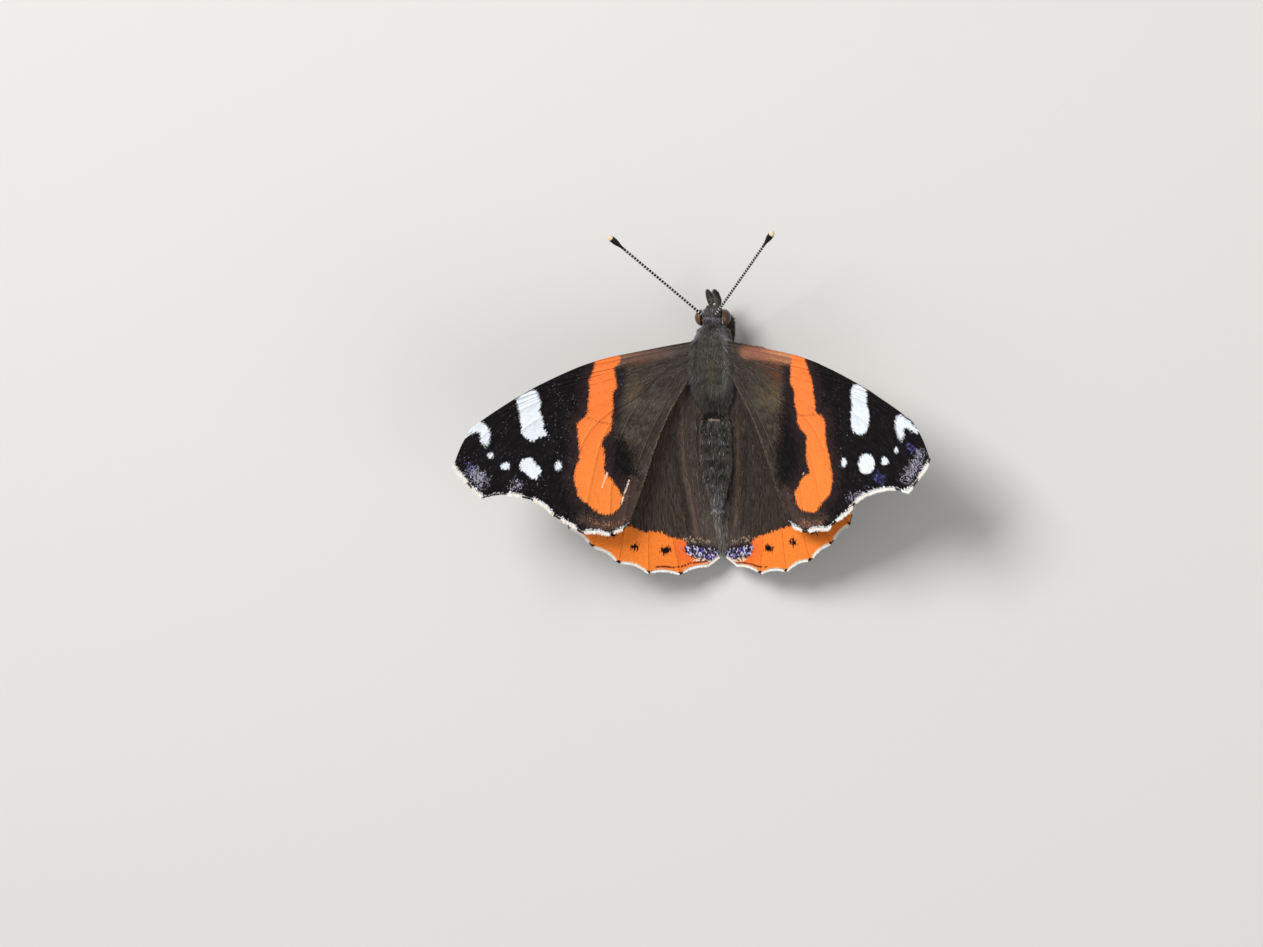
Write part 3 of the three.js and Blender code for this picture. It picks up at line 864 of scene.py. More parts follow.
FOREWING_APEX = Marking(
    name="apex",
    right=(((23.89, -9.4), (24.83, -9.3), (25.71, -9.9), (26.72, -10.8), (27.1, -11.65))
        + FORE_RIGHT.plane((911.8, 433.6), (906.3, 429.2), (902.6, 429.2), (903, 435.8))
        + ((24.52, -12.57),)
        + FORE_RIGHT.plane((896.4, 438), (894.2, 429.2)),),
    left=(((25.21, -9.3), (24.24, -9.9), (23.9, -10.9), (24.21, -12.4), (24.71, -12.25), (25.05, -11.59))
        + FORE_LEFT.plane((479.6, 436.5))
        + ((25.07, -10.6), (25.9, -10.6), (26.6, -11.0), (27.29, -11.6), (27.5, -11.1), (26.6, -10.2),
            (25.76, -9.5)),),
)

FOREWING_RIM = Marking(
    name="rim_brown",
    right=(FORE_RIGHT.plane((783, 485), (790, 500), (798, 515), (812, 521), (825, 515), (822, 525),
        (808, 530))
        + ((8.09, -22.3), (6.9, -20.5)),),
    left=(((5.9, -16.2), (7.0, -16.9))
        + FORE_LEFT.plane((624, 500))
        + ((8.89, -21.1), (11.09, -21.5), (13.05, -20.7))
        + FORE_LEFT.plane((584, 524), (600, 531), (625, 528), (637, 512)),),
)

FOREWING_FLECKS = Marking(
    name="flecks",
    right=(FORE_RIGHT.plane((797, 519), (812, 524), (824, 519), (820, 526))
        + ((10.03, -22.7), (8.6, -22.2)),),
    left=(FORE_LEFT.plane((585, 517), (600, 524), (620, 522), (628, 515), (628, 520))
        + ((9.13, -22.4), (11.22, -22.1)),),
)

FOREWING_OLIVE = Marking(
    name="olive",
    right=((
        (-3.0, 1.0), (0.5, -0.4), (6.04, -2.1), (7.9, -2.7), (7.5, -5.0), (7.1, -7.05), (6.3, -10.7),
        (5.2, -14.35),
        (5.1, -16.78), (6.55, -19.6), (7.2, -21.3), (5.0, -21.0), (0.0, -12.0), (-3.0, -4.0)),),
    left=(((-3.0, 1.0),)
        + FORE_LEFT.plane((692, 340), (645, 352))
        + ((7.5, -2.68), (7.5, -6.09), (8.4, -7.04), (8.35, -10.5), (7.0, -11.8), (5.9, -14.16),
            (5.3, -16.6), (5.7, -18.9), (5.9, -21.3), (3.0, -18.0), (-3.0, -4.0)),),
)

FOREWING_RED = Marking(
    name="red",
    right=(((1.34, -1.9), (4.45, -1.9), (7.15, -2.1), (9.2, -2.4), (8.9, -4.2), (7.4, -5.2), (6.62, -5.4))
        + FORE_RIGHT.plane((762, 372), (750, 366)),),
    left=(((3.0, -1.2), (8.6, -2.0), (7.4, -2.9), (4.0, -2.3)),),
)

FOREWING_DUSK = Marking(
    name="dusk",
    right=(((8.53, -2.6), (9.3, -2.6))
        + FORE_RIGHT.plane((794, 385))
        + ((9.5, -8.0), (8.4, -8.0), (8.4, -5.6)),),
    left=(((8.8, -2.8), (7.6, -2.7), (7.5, -4.38), (8.2, -6.8), (8.4, -9.0), (9.2, -9.0), (8.9, -5.8)),),
)

FOREWING_SHEEN = Marking(
    name="sheen",
    right=(((2.2, -3.4), (6.4, -4.4), (8.0, -5.6), (8.0, -8.2), (5.6, -8.4), (3.4, -6.4)),),
    left=(((5.6, -4.2), (7.4, -4.6), (7.6, -7.2), (5.4, -7.6)),),
)

HAIRLINE = Stroke(
    name="scratch",
    right=(((9.9, -16.0), (9.8, -16.2)),),
    left=(FORE_LEFT.plane((629.4, 479.8), (625, 492), (621.3, 504)),
        FORE_LEFT.plane((607.5, 472.9), (604, 482.1))
        + ((10.3, -17.4),),
          ((9.76, -15.7), (10.0, -16.3))),
    half_width=0.1,
)

STEP_LINE = Stroke(
    name="step_line",
    right=(((9.7, -9.0), (11.2, -9.05), (12.4, -8.9)),),
    left=(((9.3, -9.7), (10.8, -9.45), (12.0, -8.9)),),
    half_width=0.06,
)

HINDWING_BEIGE = Marking(
    name="beige",
    right=(((0.9, -23.4), (0.5, -24.6), (-1.2, -24.8), (-2.9, -25.1), (-3.4, -24.6), (-1.4, -23.8)),),
    left=(((1.4, -23.4), (0.9, -24.6), (-1.0, -24.75), (-2.6, -24.9), (-3.2, -24.3), (-1.2, -23.7)),),
)

HIDDEN_BAND: Points = (
    (9.8, -21.8), (11.8, -20.4), (13.2, -18.9), (13.9, -17.6), (15.0, -16.9), (17.6, -18.8), (16.4, -23.0),
    (12.4, -25.6), (9.1, -27.6), (5.4, -29.0), (1.2, -29.2), (-2.0, -28.9), (-3.8, -28.0), (-3.6, -26.9),
    (-1.9, -26.9))
HINDWING_BAND = Marking(
    name="orange",
    right=(((0.1, -26.2), (0.45, -25.3), (0.3, -24.7), (0.7, -24.3), (1.3, -23.75))
        + HIND_RIGHT.plane((770, 533), (785, 527), (800, 525)) + HIDDEN_BAND,),
    left=(((0.2, -26.2), (0.6, -25.3), (0.5, -24.7), (0.7, -24.3), (1.6, -23.85))
        + HIND_LEFT.plane((672, 538), (664, 533), (652, 531))
        + ((5.73, -23.1),)
        + HIND_LEFT.plane((632, 526)) + HIDDEN_BAND,),
)

HINDWING_BLACK = Marking(
    name="black",
    right=(
        spot(6.7, -24.5, 0.4, 0.38), spot(2.95, -25.2, 0.6, 0.44), spot(9.7, -23.3, 0.45, 0.4),
        spot(12.6, -21.3, 0.5, 0.4),
        ((0.35, -24.71),)
        + HIND_RIGHT.plane((740, 545))
        + ((-2.9, -25.1), (-3.9, -25.6), (-3.9, -26.75), (-3.1, -26.6), (-1.66, -26.25), (-0.5, -25.95),
            (0.45, -25.7), (0.7, -25.2)),
    ),
    left=(
        spot(6.94, -24.85, 0.38, 0.38), spot(3.15, -25.28, 0.58, 0.44), spot(9.7, -23.3, 0.45, 0.4),
        spot(12.6, -21.3, 0.5, 0.4),
        ((0.7, -24.75),)
        + HIND_LEFT.plane((700, 545))
        + ((-2.6, -24.92), (-3.5, -25.5), (-3.5, -26.75), (-2.6, -26.6), (-0.98, -26.15), (0.3, -25.85),
            (1.0, -25.3)),
    ),
)

HINDWING_BLUE = Marking(
    name="blue",
    right=((
        (0.55, -25.2), (-0.53, -25.05), (-1.59, -25.3), (-2.78, -25.5), (-3.6, -25.75), (-3.7, -26.42),
        (-2.84, -26.35), (-1.64, -26.05), (-0.15, -25.75)),),
    left=(HIND_LEFT_CLOSE.plane((610, 240))
        + HIND_LEFT.plane((692, 547))
        + ((-0.98, -25.2), (-1.95, -25.25), (-3.0, -25.6), (-3.1, -26.45), (-2.19, -26.42), (-0.98, -26.0),
            (0.0, -25.8)),),
)

HINDWING_LINE = Stroke(
    name="dark_line",
    right=(((-3.3, -26.85), (-2.17, -26.98), (-0.71, -26.98), (0.3, -27.2), (1.18, -27.45), (2.6, -27.5)),),
    left=(((4.4, -27.35), (3.31, -27.3), (2.09, -27.45), (0.86, -27.25), (0.25, -26.95), (-0.61, -26.85),
           (-1.9, -26.75)),),
    half_width=0.13,
)

HINDWING_PINK = Stroke(
    name="pink_line",
    right=(((-3.3, -26.66), (-2.12, -26.62), (-0.94, -26.5)),),
    left=(((-0.12, -26.35), (-0.97, -26.5), (-2.1, -26.63)),),
    half_width=0.14,
)


@dataclass(frozen=True)
class ForewingUpperFinish:
    """Upper face of the forewings: olive-brown root, orange band, black tip with white marks."""

    name: str
    black: tuple = srgb(19, 17, 18)
    soft_black: tuple = srgb(35, 30, 31)
    maroon: tuple = srgb(50, 38, 38)
    olive: tuple = srgb(80, 72, 63)
    brown: tuple = srgb(55, 47, 42)
    sheen: tuple = srgb(100, 84, 62)
    red: tuple = srgb(92, 56, 42)
    # Colour of the painted highlight on the crests of the raised veins.
    vein_pale: tuple = srgb(96, 86, 78)
    orange: tuple = srgb(239, 122, 59)
    low_orange: tuple = srgb(238, 128, 58)
    streak: tuple = srgb(158, 104, 82)
    # Colour of the painted highlight along the costal edge and the streak's edges.
    bright_streak: tuple = srgb(216, 144, 98)
    rim_brown: tuple = srgb(72, 57, 51)
    white: tuple = srgb(217, 221, 227)
    rim_white: tuple = srgb(226, 225, 222)
    lilac: tuple = srgb(176, 172, 188)
    blue: tuple = srgb(92, 92, 156)
    fleck: tuple = srgb(150, 104, 84)
    speckle: float = 0.08
    scratch: tuple = srgb(238, 208, 186)
    scale_size: float = 0.1

    def make(self) -> bpy.types.Material:
        """Write the material."""
        pen = NodePen(self.name, roughness=0.9, specular=0.05)
        plane = pen.vector("plane")
        rays = pen.vector("rays")
        grain = pen.grains(plane, 1 / self.scale_size)
        other = pen.grains(pen.stretched(plane, (1.3, 0.9, 1.0)), 0.9 / self.scale_size)
        soft = pen.noise(plane, 1.6, 3.0)
        cloud = pen.noise(plane, 0.35, 3.0)
        fibre = pen.noise(pen.stretched(rays, (9.0, 1.0, 1.0)), 1.0, 4.0, 0.6)
        teeth = pen.noise(pen.stretched(rays, (20.0, 1.3, 1.0)), 1.0, 1.0)
        jitter = pen.total((grain, 0.5, 0.2), (soft, 0.5, 0.4), (teeth, 0.5, 0.9))
        ragged = pen.total((grain, 0.5, 0.9), (soft, 0.5, 1.2), (teeth, 0.5, 1.8))
        comb = pen.noise(pen.stretched(rays, (34.0, 1.6, 1.0)), 1.0, 1.0)
        neat = pen.total((grain, 0.5, 0.2), (soft, 0.5, 0.15), (comb, 0.5, 0.9))
        black = pen.mix(pen.ramp(fibre, 0.4, 0.85), self.black, self.soft_black)
        near_band = pen.ramp(pen.total((pen.number("orange"), 0.0, 1.0), (soft, 0.5, 2.0),
            (fibre, 0.5, 2.0)), -2.2, 0.2)
        black = pen.mix(pen.math("MULTIPLY", near_band, 0.8), black, self.maroon)
        base = pen.mix(pen.ramp(pen.total((fibre, 0.0, 1.0), (cloud, 0.5, 1.0)), 0.34, 0.7), self.brown,
            self.olive)
        base = pen.mix(pen.level("sheen", ragged, -0.9, 1.3, 0.6), base, self.sheen)
        base = pen.mix(pen.level("red", ragged, -0.6, 1.0, 0.75), base, self.red)
        # Painted shade along the flanks of the base's veins, and a painted highlight on their crests,
        # standing in for light on the raised veins.
        flank = pen.ramp(pen.number("vein"), 0.3, 0.12)
        base = pen.mix(pen.math("MULTIPLY", flank, 0.45), base, pen.shade(self.brown, 0.8))
        vein_crest_highlight = pen.ramp(pen.number("vein"), 0.1, 0.02)
        base = pen.mix(pen.math("MULTIPLY", vein_crest_highlight, 0.6), base, self.vein_pale)
        colour = pen.mix(pen.level("olive", ragged, -1.2, 0.7), black, base)
        colour = pen.mix(pen.level("dusk", ragged, -0.5, 0.4, 0.85), colour, self.soft_black)
        colour = pen.mix(pen.level("rim_brown", ragged, -0.9, 0.3, 0.95), colour, self.rim_brown)
        colour = pen.mix(pen.level("flecks", pen.total((other, 0.55, 1.8)), 0.35, 0.6), colour, self.fleck)
        dust = pen.total((other, 0.5, 1.8), (teeth, 0.5, 1.6), (soft, 0.5, 1.6))
        colour = pen.mix(pen.level("lilac", dust, 0.3, 0.8, 0.8), colour, self.lilac)
        colour = pen.mix(pen.level("dust", dust, 0.5, 0.8, 0.75), colour, self.lilac)
        colour = pen.mix(pen.level("flake_blue", dust, 0.35, 0.6, 0.85), colour, self.blue)
        speck = pen.math("MULTIPLY", pen.ramp(other, 0.975, 0.985), pen.ramp(cloud, 0.42, 0.6))
        colour = pen.mix(pen.math("MULTIPLY", speck, self.speckle), colour, self.lilac)
        stray = pen.math("MULTIPLY", pen.ramp(grain, 0.996, 0.999), pen.ramp(cloud, 0.5, 0.62))
        colour = pen.mix(pen.math("MULTIPLY", stray, 0.5), colour, self.lilac)
        # Painted highlight: the streak is lightened along the costal edge and at its own edges, as far as
        # glow allows.
        lit = pen.ramp(pen.total((pen.number("costa"), 0.0, 1.0), (grain, 0.5, 0.5), (teeth, 0.5, 0.6)),
            0.55, 0.1)
        lit = pen.math("MAXIMUM", lit, pen.math("MULTIPLY", pen.ramp(pen.number("streak"), 0.4, 0.1), 0.55))
        tone = pen.mix(pen.math("MULTIPLY", lit, pen.number("glow")), self.streak, self.bright_streak)
        share = pen.math("MULTIPLY", pen.level("streak",
            pen.total((grain, 0.5, 0.3), (teeth, 0.5, 1.2)), -0.5, 0.45),
                         pen.number("streak_share"))
        colour = pen.mix(share, colour, tone)
        orange = pen.mix(pen.number("low"), self.orange, self.low_orange)
        vein = pen.ramp(pen.number("vein"), 0.0, 0.07)
        orange = pen.mix(vein, pen.shade(orange, 0.82), orange)
        orange = pen.mix(pen.level("step_line", jitter, -0.03, 0.06), orange, pen.shade(self.orange, 0.55))
        colour = pen.mix(pen.level("orange", neat, -0.03, 0.05), colour, orange)
        colour = pen.mix(pen.level("scratch", pen.total((grain, 0.5, 0.12)), -0.03, 0.08, 0.85), colour,
            self.scratch)
        white = pen.mix(vein, pen.shade(self.white, 0.75), self.white)
        colour = pen.mix(pen.level("white", neat, -0.04, 0.04), colour, white)
        tattered = pen.total((grain, 0.5, 0.3), (soft, 0.5, 0.2), (teeth, 0.5, 0.9))
        colour = pen.mix(pen.level("apex", tattered, -0.03, 0.06), colour, self.white)
        colour = pen.mix(pen.level("pale_rim", pen.total((grain, 0.5, 0.3), (teeth, 0.5, 0.6)), -0.03,
            0.05), colour,
                         self.rim_white)
        colour = pen.shade(colour, pen.total((grain, 0.5, 0.22), (fibre, 0.5, 0.3), base=1.0))
        pen.bump(pen.total((grain, 0.0, 0.4), (fibre, 0.0, 1.0)), 0.6, 0.045)
        return pen.done(colour)


@dataclass(frozen=True)
class HindwingUpperFinish:
    """Upper face of the hindwings: brown with fine streaks, orange border, blue corner."""

    brown: tuple = srgb(78, 66, 58)
    dark: tuple = srgb(42, 35, 31)
    inner: tuple = srgb(94, 84, 77)
    # Colour of the painted highlight on the raised fold of the inner field.
    ridge: tuple = srgb(104, 84, 74)
    hair: tuple = srgb(128, 112, 100)
    orange: tuple = srgb(236, 125, 49)
    red_orange: tuple = srgb(235, 106, 48)
    black: tuple = srgb(22, 17, 18)
    blue: tuple = srgb(84, 78, 146)
    pale: tuple = srgb(196, 188, 212)
    pink: tuple = srgb(236, 204, 172)
    beige: tuple = srgb(168, 142, 118)
    line: tuple = srgb(110, 48, 26)
    cream: tuple = srgb(226, 206, 180)
    scale_size: float = 0.1

    def make(self) -> bpy.types.Material:
        """Write the material."""
        pen = NodePen("hindwing_upper_scales", roughness=0.9, specular=0.05)
        plane = pen.vector("plane")
        rays = pen.vector("rays")
        grain = pen.grains(plane, 1 / self.scale_size)
        flake = pen.grains(pen.stretched(plane, (1.0, 0.75, 1.0)), 0.62 / self.scale_size)
        soft = pen.noise(plane, 1.4, 3.0)
        fibre = pen.noise(pen.stretched(rays, (14.0, 0.7, 1.0)), 1.0, 5.0, 0.7)
        teeth = pen.noise(pen.stretched(rays, (24.0, 1.2, 1.0)), 1.0, 1.0)
        jitter = pen.total((grain, 0.5, 0.2), (soft, 0.5, 0.4), (teeth, 0.5, 1.0))
        ragged = pen.total((flake, 0.5, 0.9), (soft, 0.5, 0.6), (teeth, 0.5, 0.8))
        colour = pen.mix(pen.ramp(fibre, 0.36, 0.66), self.dark, self.brown)
        colour = pen.mix(pen.math("MULTIPLY", pen.number("inner_field"), 0.6), colour, self.inner)
        # Painted shade in the valley beside the inner field's fold, and a painted highlight on the fold
        # itself.
        colour = pen.mix(pen.math("MULTIPLY", pen.number("valley"), 0.6), colour, pen.shade(self.dark, 0.8))
        colour = pen.mix(pen.math("MULTIPLY", pen.number("ridge"), 0.75), colour, self.ridge)
        hair = pen.ramp(pen.noise(pen.stretched(rays, (70.0, 1.8, 1.0)), 1.0, 1.0), 0.66, 0.76)
        colour = pen.mix(pen.math("MULTIPLY", hair, 0.45), colour, self.hair)
        # Painted shade: the right hindwing is darkened as a whole by this factor.
        colour = pen.shade(colour, pen.number("painted_side_shade"))
        colour = pen.mix(pen.level("beige", ragged, 0.3, 0.6, 0.8), colour, self.beige)
        orange = pen.mix(pen.ramp(pen.number("blue"), -2.4, -0.6), self.orange, self.red_orange)
        vein = pen.ramp(pen.number("vein"), 0.0, 0.07)
        orange = pen.mix(vein, pen.shade(orange, 0.6), orange)
        colour = pen.mix(pen.level("orange", jitter, -0.04, 0.06), colour, orange)
        colour = pen.mix(pen.level("pink_line", ragged, -0.06, 0.1), colour, self.pink)
        colour = pen.mix(pen.level("dark_line", pen.total((teeth, 0.5, 0.2)), -0.03, 0.05), colour,
            self.line)
        hairy = pen.total((flake, 0.5, 0.3), (soft, 0.5, 0.5), (teeth, 0.5, 1.3))
        colour = pen.mix(pen.level("black", hairy, -0.12, -0.02), colour, self.black)
        blue = pen.mix(pen.ramp(flake, 0.68, 0.84), self.blue, self.pale)
        blue = pen.mix(pen.ramp(pen.math("ADD", flake, teeth), 1.0, 0.93), blue, self.black)
        colour = pen.mix(pen.level("blue", ragged, -0.06, 0.1), colour, blue)
        colour = pen.mix(pen.level("pale_rim", pen.total((grain, 0.5, 0.15)), -0.04, 0.05), colour,
            self.cream)
        colour = pen.mix(pen.level("tick", pen.total((grain, 0.5, 0.2)), -0.04, 0.05), colour, self.black)
        colour = pen.shade(colour, pen.total((grain, 0.5, 0.22), base=1.0))
        pen.bump(pen.total((grain, 0.0, 0.4), (fibre, 0.0, 1.2)), 0.7, 0.05)
        return pen.done(colour)


@dataclass(frozen=True)
class ForewingUnderFinish:
    """Underside of the forewings: the upper marks again, paler, with a marbled tip."""

    black: tuple = srgb(40, 35, 36)
    orange: tuple = srgb(222, 104, 70)
    white: tuple = srgb(236, 234, 228)
    blue: tuple = srgb(120, 136, 190)
    tip: tuple = srgb(140, 118, 92)
    grey: tuple = srgb(120, 110, 100)
    scale_size: float = 0.11

    def make(self) -> bpy.types.Material:
        """Write the material."""
        pen = NodePen("forewing_under_scales", roughness=0.8, specular=0.12)
        plane = pen.vector("plane")
        grain = pen.grains(plane, 1 / self.scale_size)
        soft = pen.noise(plane, 0.9, 4.0)
        jitter = pen.math("ADD", pen.math("MULTIPLY", pen.math("SUBTRACT", grain, 0.5), 0.4),
                          pen.math("MULTIPLY", pen.math("SUBTRACT", soft, 0.5), 0.7))
        tip_tone = pen.mix(pen.ramp(pen.noise(plane, 0.8, 4.0), 0.4, 0.62), self.black, self.tip)
        colour = pen.mix(pen.ramp(pen.number("tip"), -1.0, 1.6), self.black, tip_tone)
        colour = pen.mix(pen.ramp(pen.number("under_blue"), -0.15, 0.15), colour, self.blue)
        pink = pen.ramp(pen.math("ADD", pen.number("under_orange"), jitter), -0.1, 0.15)
        colour = pen.mix(pink, colour, self.orange)
        marks = pen.ramp(pen.math("ADD", pen.number("white"), jitter), -0.1, 0.12)
        colour = pen.mix(marks, colour, self.white)
        costa = pen.ramp(pen.number("costa"), 0.75, 0.3)
        colour = pen.mix(costa, colour, self.grey)
        vein = pen.ramp(pen.number("vein"), 0.04, 0.14)
        colour = pen.mix(vein, pen.shade(colour, 0.55), colour)
        colour = pen.shade(colour, pen.math("ADD", pen.math("MULTIPLY", grain, 0.36), 0.82))
        pen.bump(grain, 0.5, 0.02)
        return pen.done(colour)


@dataclass(frozen=True)
class HindwingUnderFinish:
    """Underside of the hindwings: marbled brown and black with small border rings."""

    brown: tuple = srgb(104, 82, 62)
    dark: tuple = srgb(46, 38, 36)
    pale: tuple = srgb(160, 142, 118)
    ring: tuple = srgb(86, 98, 104)
    scale_size: float = 0.11

    def make(self) -> bpy.types.Material:
        """Write the material."""
        pen = NodePen("hindwing_under_scales", roughness=0.8, specular=0.12)
        plane = pen.vector("plane")
        grain = pen.grains(plane, 1 / self.scale_size)
        cloud = pen.noise(plane, 0.45, 5.0, 0.65)
        fine = pen.noise(pen.stretched(plane, (1.0, 1.6, 1.0)), 1.3, 4.0, 0.7)
        colour = pen.mix(pen.ramp(cloud, 0.4, 0.58), self.dark, self.brown)
        colour = pen.mix(pen.ramp(fine, 0.52, 0.72), colour, self.pale)
        colour = pen.mix(pen.ramp(pen.number("ring"), 0.0, 0.3), colour, self.ring)
        colour = pen.mix(pen.ramp(pen.number("eye"), -0.1, 0.1), colour, self.dark)
        margin = pen.ramp(pen.number("margin"), 0.9, 0.35)
        colour = pen.mix(margin, colour, self.pale)
        vein = pen.ramp(pen.number("vein"), 0.04, 0.16)
        colour = pen.mix(vein, self.pale, colour)
        colour = pen.shade(colour, pen.math("ADD", pen.math("MULTIPLY", grain, 0.4), 0.8))
        pen.bump(grain, 0.5, 0.02)
        return pen.done(colour)


@dataclass(frozen=True)
class FringeFinish:
    """Hair-scales along the wing margins: white between the veins, black at their ends."""

    white: tuple = srgb(234, 233, 230)
    cream: tuple = srgb(226, 216, 202)
    black: tuple = srgb(40, 31, 29)

    def make(self) -> bpy.types.Material:
        """Write the material."""
        pen = NodePen("margin_fringe", roughness=0.8, specular=0.08)
        clumps = pen.noise(pen.place(), 4200, 2.0)
        pale = pen.ramp(pen.total((pen.number("pale"), 0.0, 1.0), (clumps, 0.5, 1.4)), 0.4, 0.6)
        tone = pen.mix(pen.ramp(pen.noise(pen.place(), 2100, 3.0), 0.42, 0.6), self.cream, self.white)
        return pen.done(pen.mix(pale, self.black, tone))


@dataclass(frozen=True)
class CoatFinish:
    """Hair of body and wing bases: bronze-olive, grey and lilac, lighter toward the tips."""

    name: str
    bronze: tuple = srgb(116, 110, 97)
    shadow: tuple = srgb(52, 49, 46)
    grey: tuple = srgb(122, 121, 124)
    lilac: tuple = srgb(196, 193, 206)
    cream: tuple = srgb(166, 154, 142)
    # Tint of the painted sheen on the thorax hair.
    olive: tuple = srgb(112, 105, 74)
    dark: tuple = srgb(40, 36, 34)

    def make(self) -> bpy.types.Material:
        """Write the material."""
        pen = NodePen(self.name, roughness=0.75, specular=0.15)
        colour = pen.mix(pen.number("chance"), self.shadow, self.bronze)
        colour = pen.tinted(colour, self)
        colour = pen.shade(colour, pen.total((pen.number("tip"), 0.0, 0.45), base=0.7))
        return pen.done(colour)


@dataclass(frozen=True)
class SkinFinish:
    """Body under the hair: dark, finely scaled, with the same fields as the hair."""

    shadow: tuple = srgb(38, 35, 33)
    bronze: tuple = srgb(72, 68, 60)
    grey: tuple = srgb(88, 87, 89)
    lilac: tuple = srgb(112, 110, 120)
    cream: tuple = srgb(120, 110, 100)
    # Tint of the painted sheen on the thorax skin.
    olive: tuple = srgb(84, 78, 56)
    dark: tuple = srgb(34, 31, 30)

    def make(self) -> bpy.types.Material:
        """Write the material."""
        pen = NodePen("body_skin", roughness=0.8, specular=0.12)
        place = pen.place()
        grain = pen.grains(pen.stretched(place, (1.0, 0.5, 1.0)), 9000)
        streak = pen.noise(pen.stretched(place, (1.0, 0.16, 1.0)), 5200, 3.0, 0.6)
        colour = pen.mix(pen.ramp(streak, 0.35, 0.7), self.shadow, self.bronze)
        colour = pen.tinted(colour, self)
        colour = pen.shade(colour, pen.total((grain, 0.0, 0.5), base=0.7))
        pen.bump(pen.math("ADD", grain, streak), 0.7, 0.04)
        return pen.done(colour)


@dataclass(frozen=True)
class EyeFinish:
    """Compound eye: brown with orange rims and fine facets."""

    brown: tuple = srgb(58, 42, 33)
    dark: tuple = srgb(33, 25, 22)
    rim: tuple = srgb(90, 58, 38)

    def make(self) -> bpy.types.Material:
        """Write the material."""
        pen = NodePen("compound_eye", roughness=0.28, specular=0.5)
        facets = pen.cells(pen.place(), 9500)
        cloud = pen.noise(pen.place(), 900, 2.0)
        colour = pen.mix(pen.ramp(cloud, 0.35, 0.65), self.dark, self.brown)
        colour = pen.mix(pen.ramp(pen.number("rim"), 0.55, 1.0), colour, self.rim)
        pen.bump(pen.math("SUBTRACT", 1.0, facets), 0.5, 0.02)
        return pen.done(colour)


@dataclass(frozen=True)
class AntennaFinish:
    """Feeler: black and white rings, black club, cream tip."""

    black: tuple = srgb(18, 15, 16)
    white: tuple = srgb(214, 210, 206)
    cream: tuple = srgb(214, 194, 162)

    def make(self) -> bpy.types.Material:
        """Write the material."""
        pen = NodePen("feeler_rings", roughness=0.6, specular=0.2)
        colour = pen.mix(pen.ramp(pen.number("ring"), 0.45, 0.6), self.black, self.white)
        colour = pen.mix(pen.ramp(pen.number("end"), 0.45, 0.6), colour, self.cream)
        pen.bump(pen.noise(pen.place(), 9000, 2.0), 0.3, 0.02)
        return pen.done(colour)


@dataclass(frozen=True)
class LimbFinish:
    """Legs and tongue: horn brown with fine scales, darker at the joints."""

    name: str
    light: tuple = srgb(140, 112, 80)
    dark: tuple = srgb(72, 56, 42)

    def make(self) -> bpy.types.Material:
        """Write the material."""
        pen = NodePen(self.name, roughness=0.5, specular=0.4)
        grain = pen.grains(pen.stretched(pen.place(), (1.0, 0.6, 1.0)), 11000)
        cloud = pen.noise(pen.place(), 1500, 3.0)
        colour = pen.mix(pen.ramp(cloud, 0.35, 0.65), self.dark, self.light)
        colour = pen.mix(pen.number("joint"), colour, self.dark)
        colour = pen.shade(colour, pen.math("ADD", pen.math("MULTIPLY", grain, 0.5), 0.75))
        pen.bump(grain, 0.5, 0.02)
        return pen.done(colour)


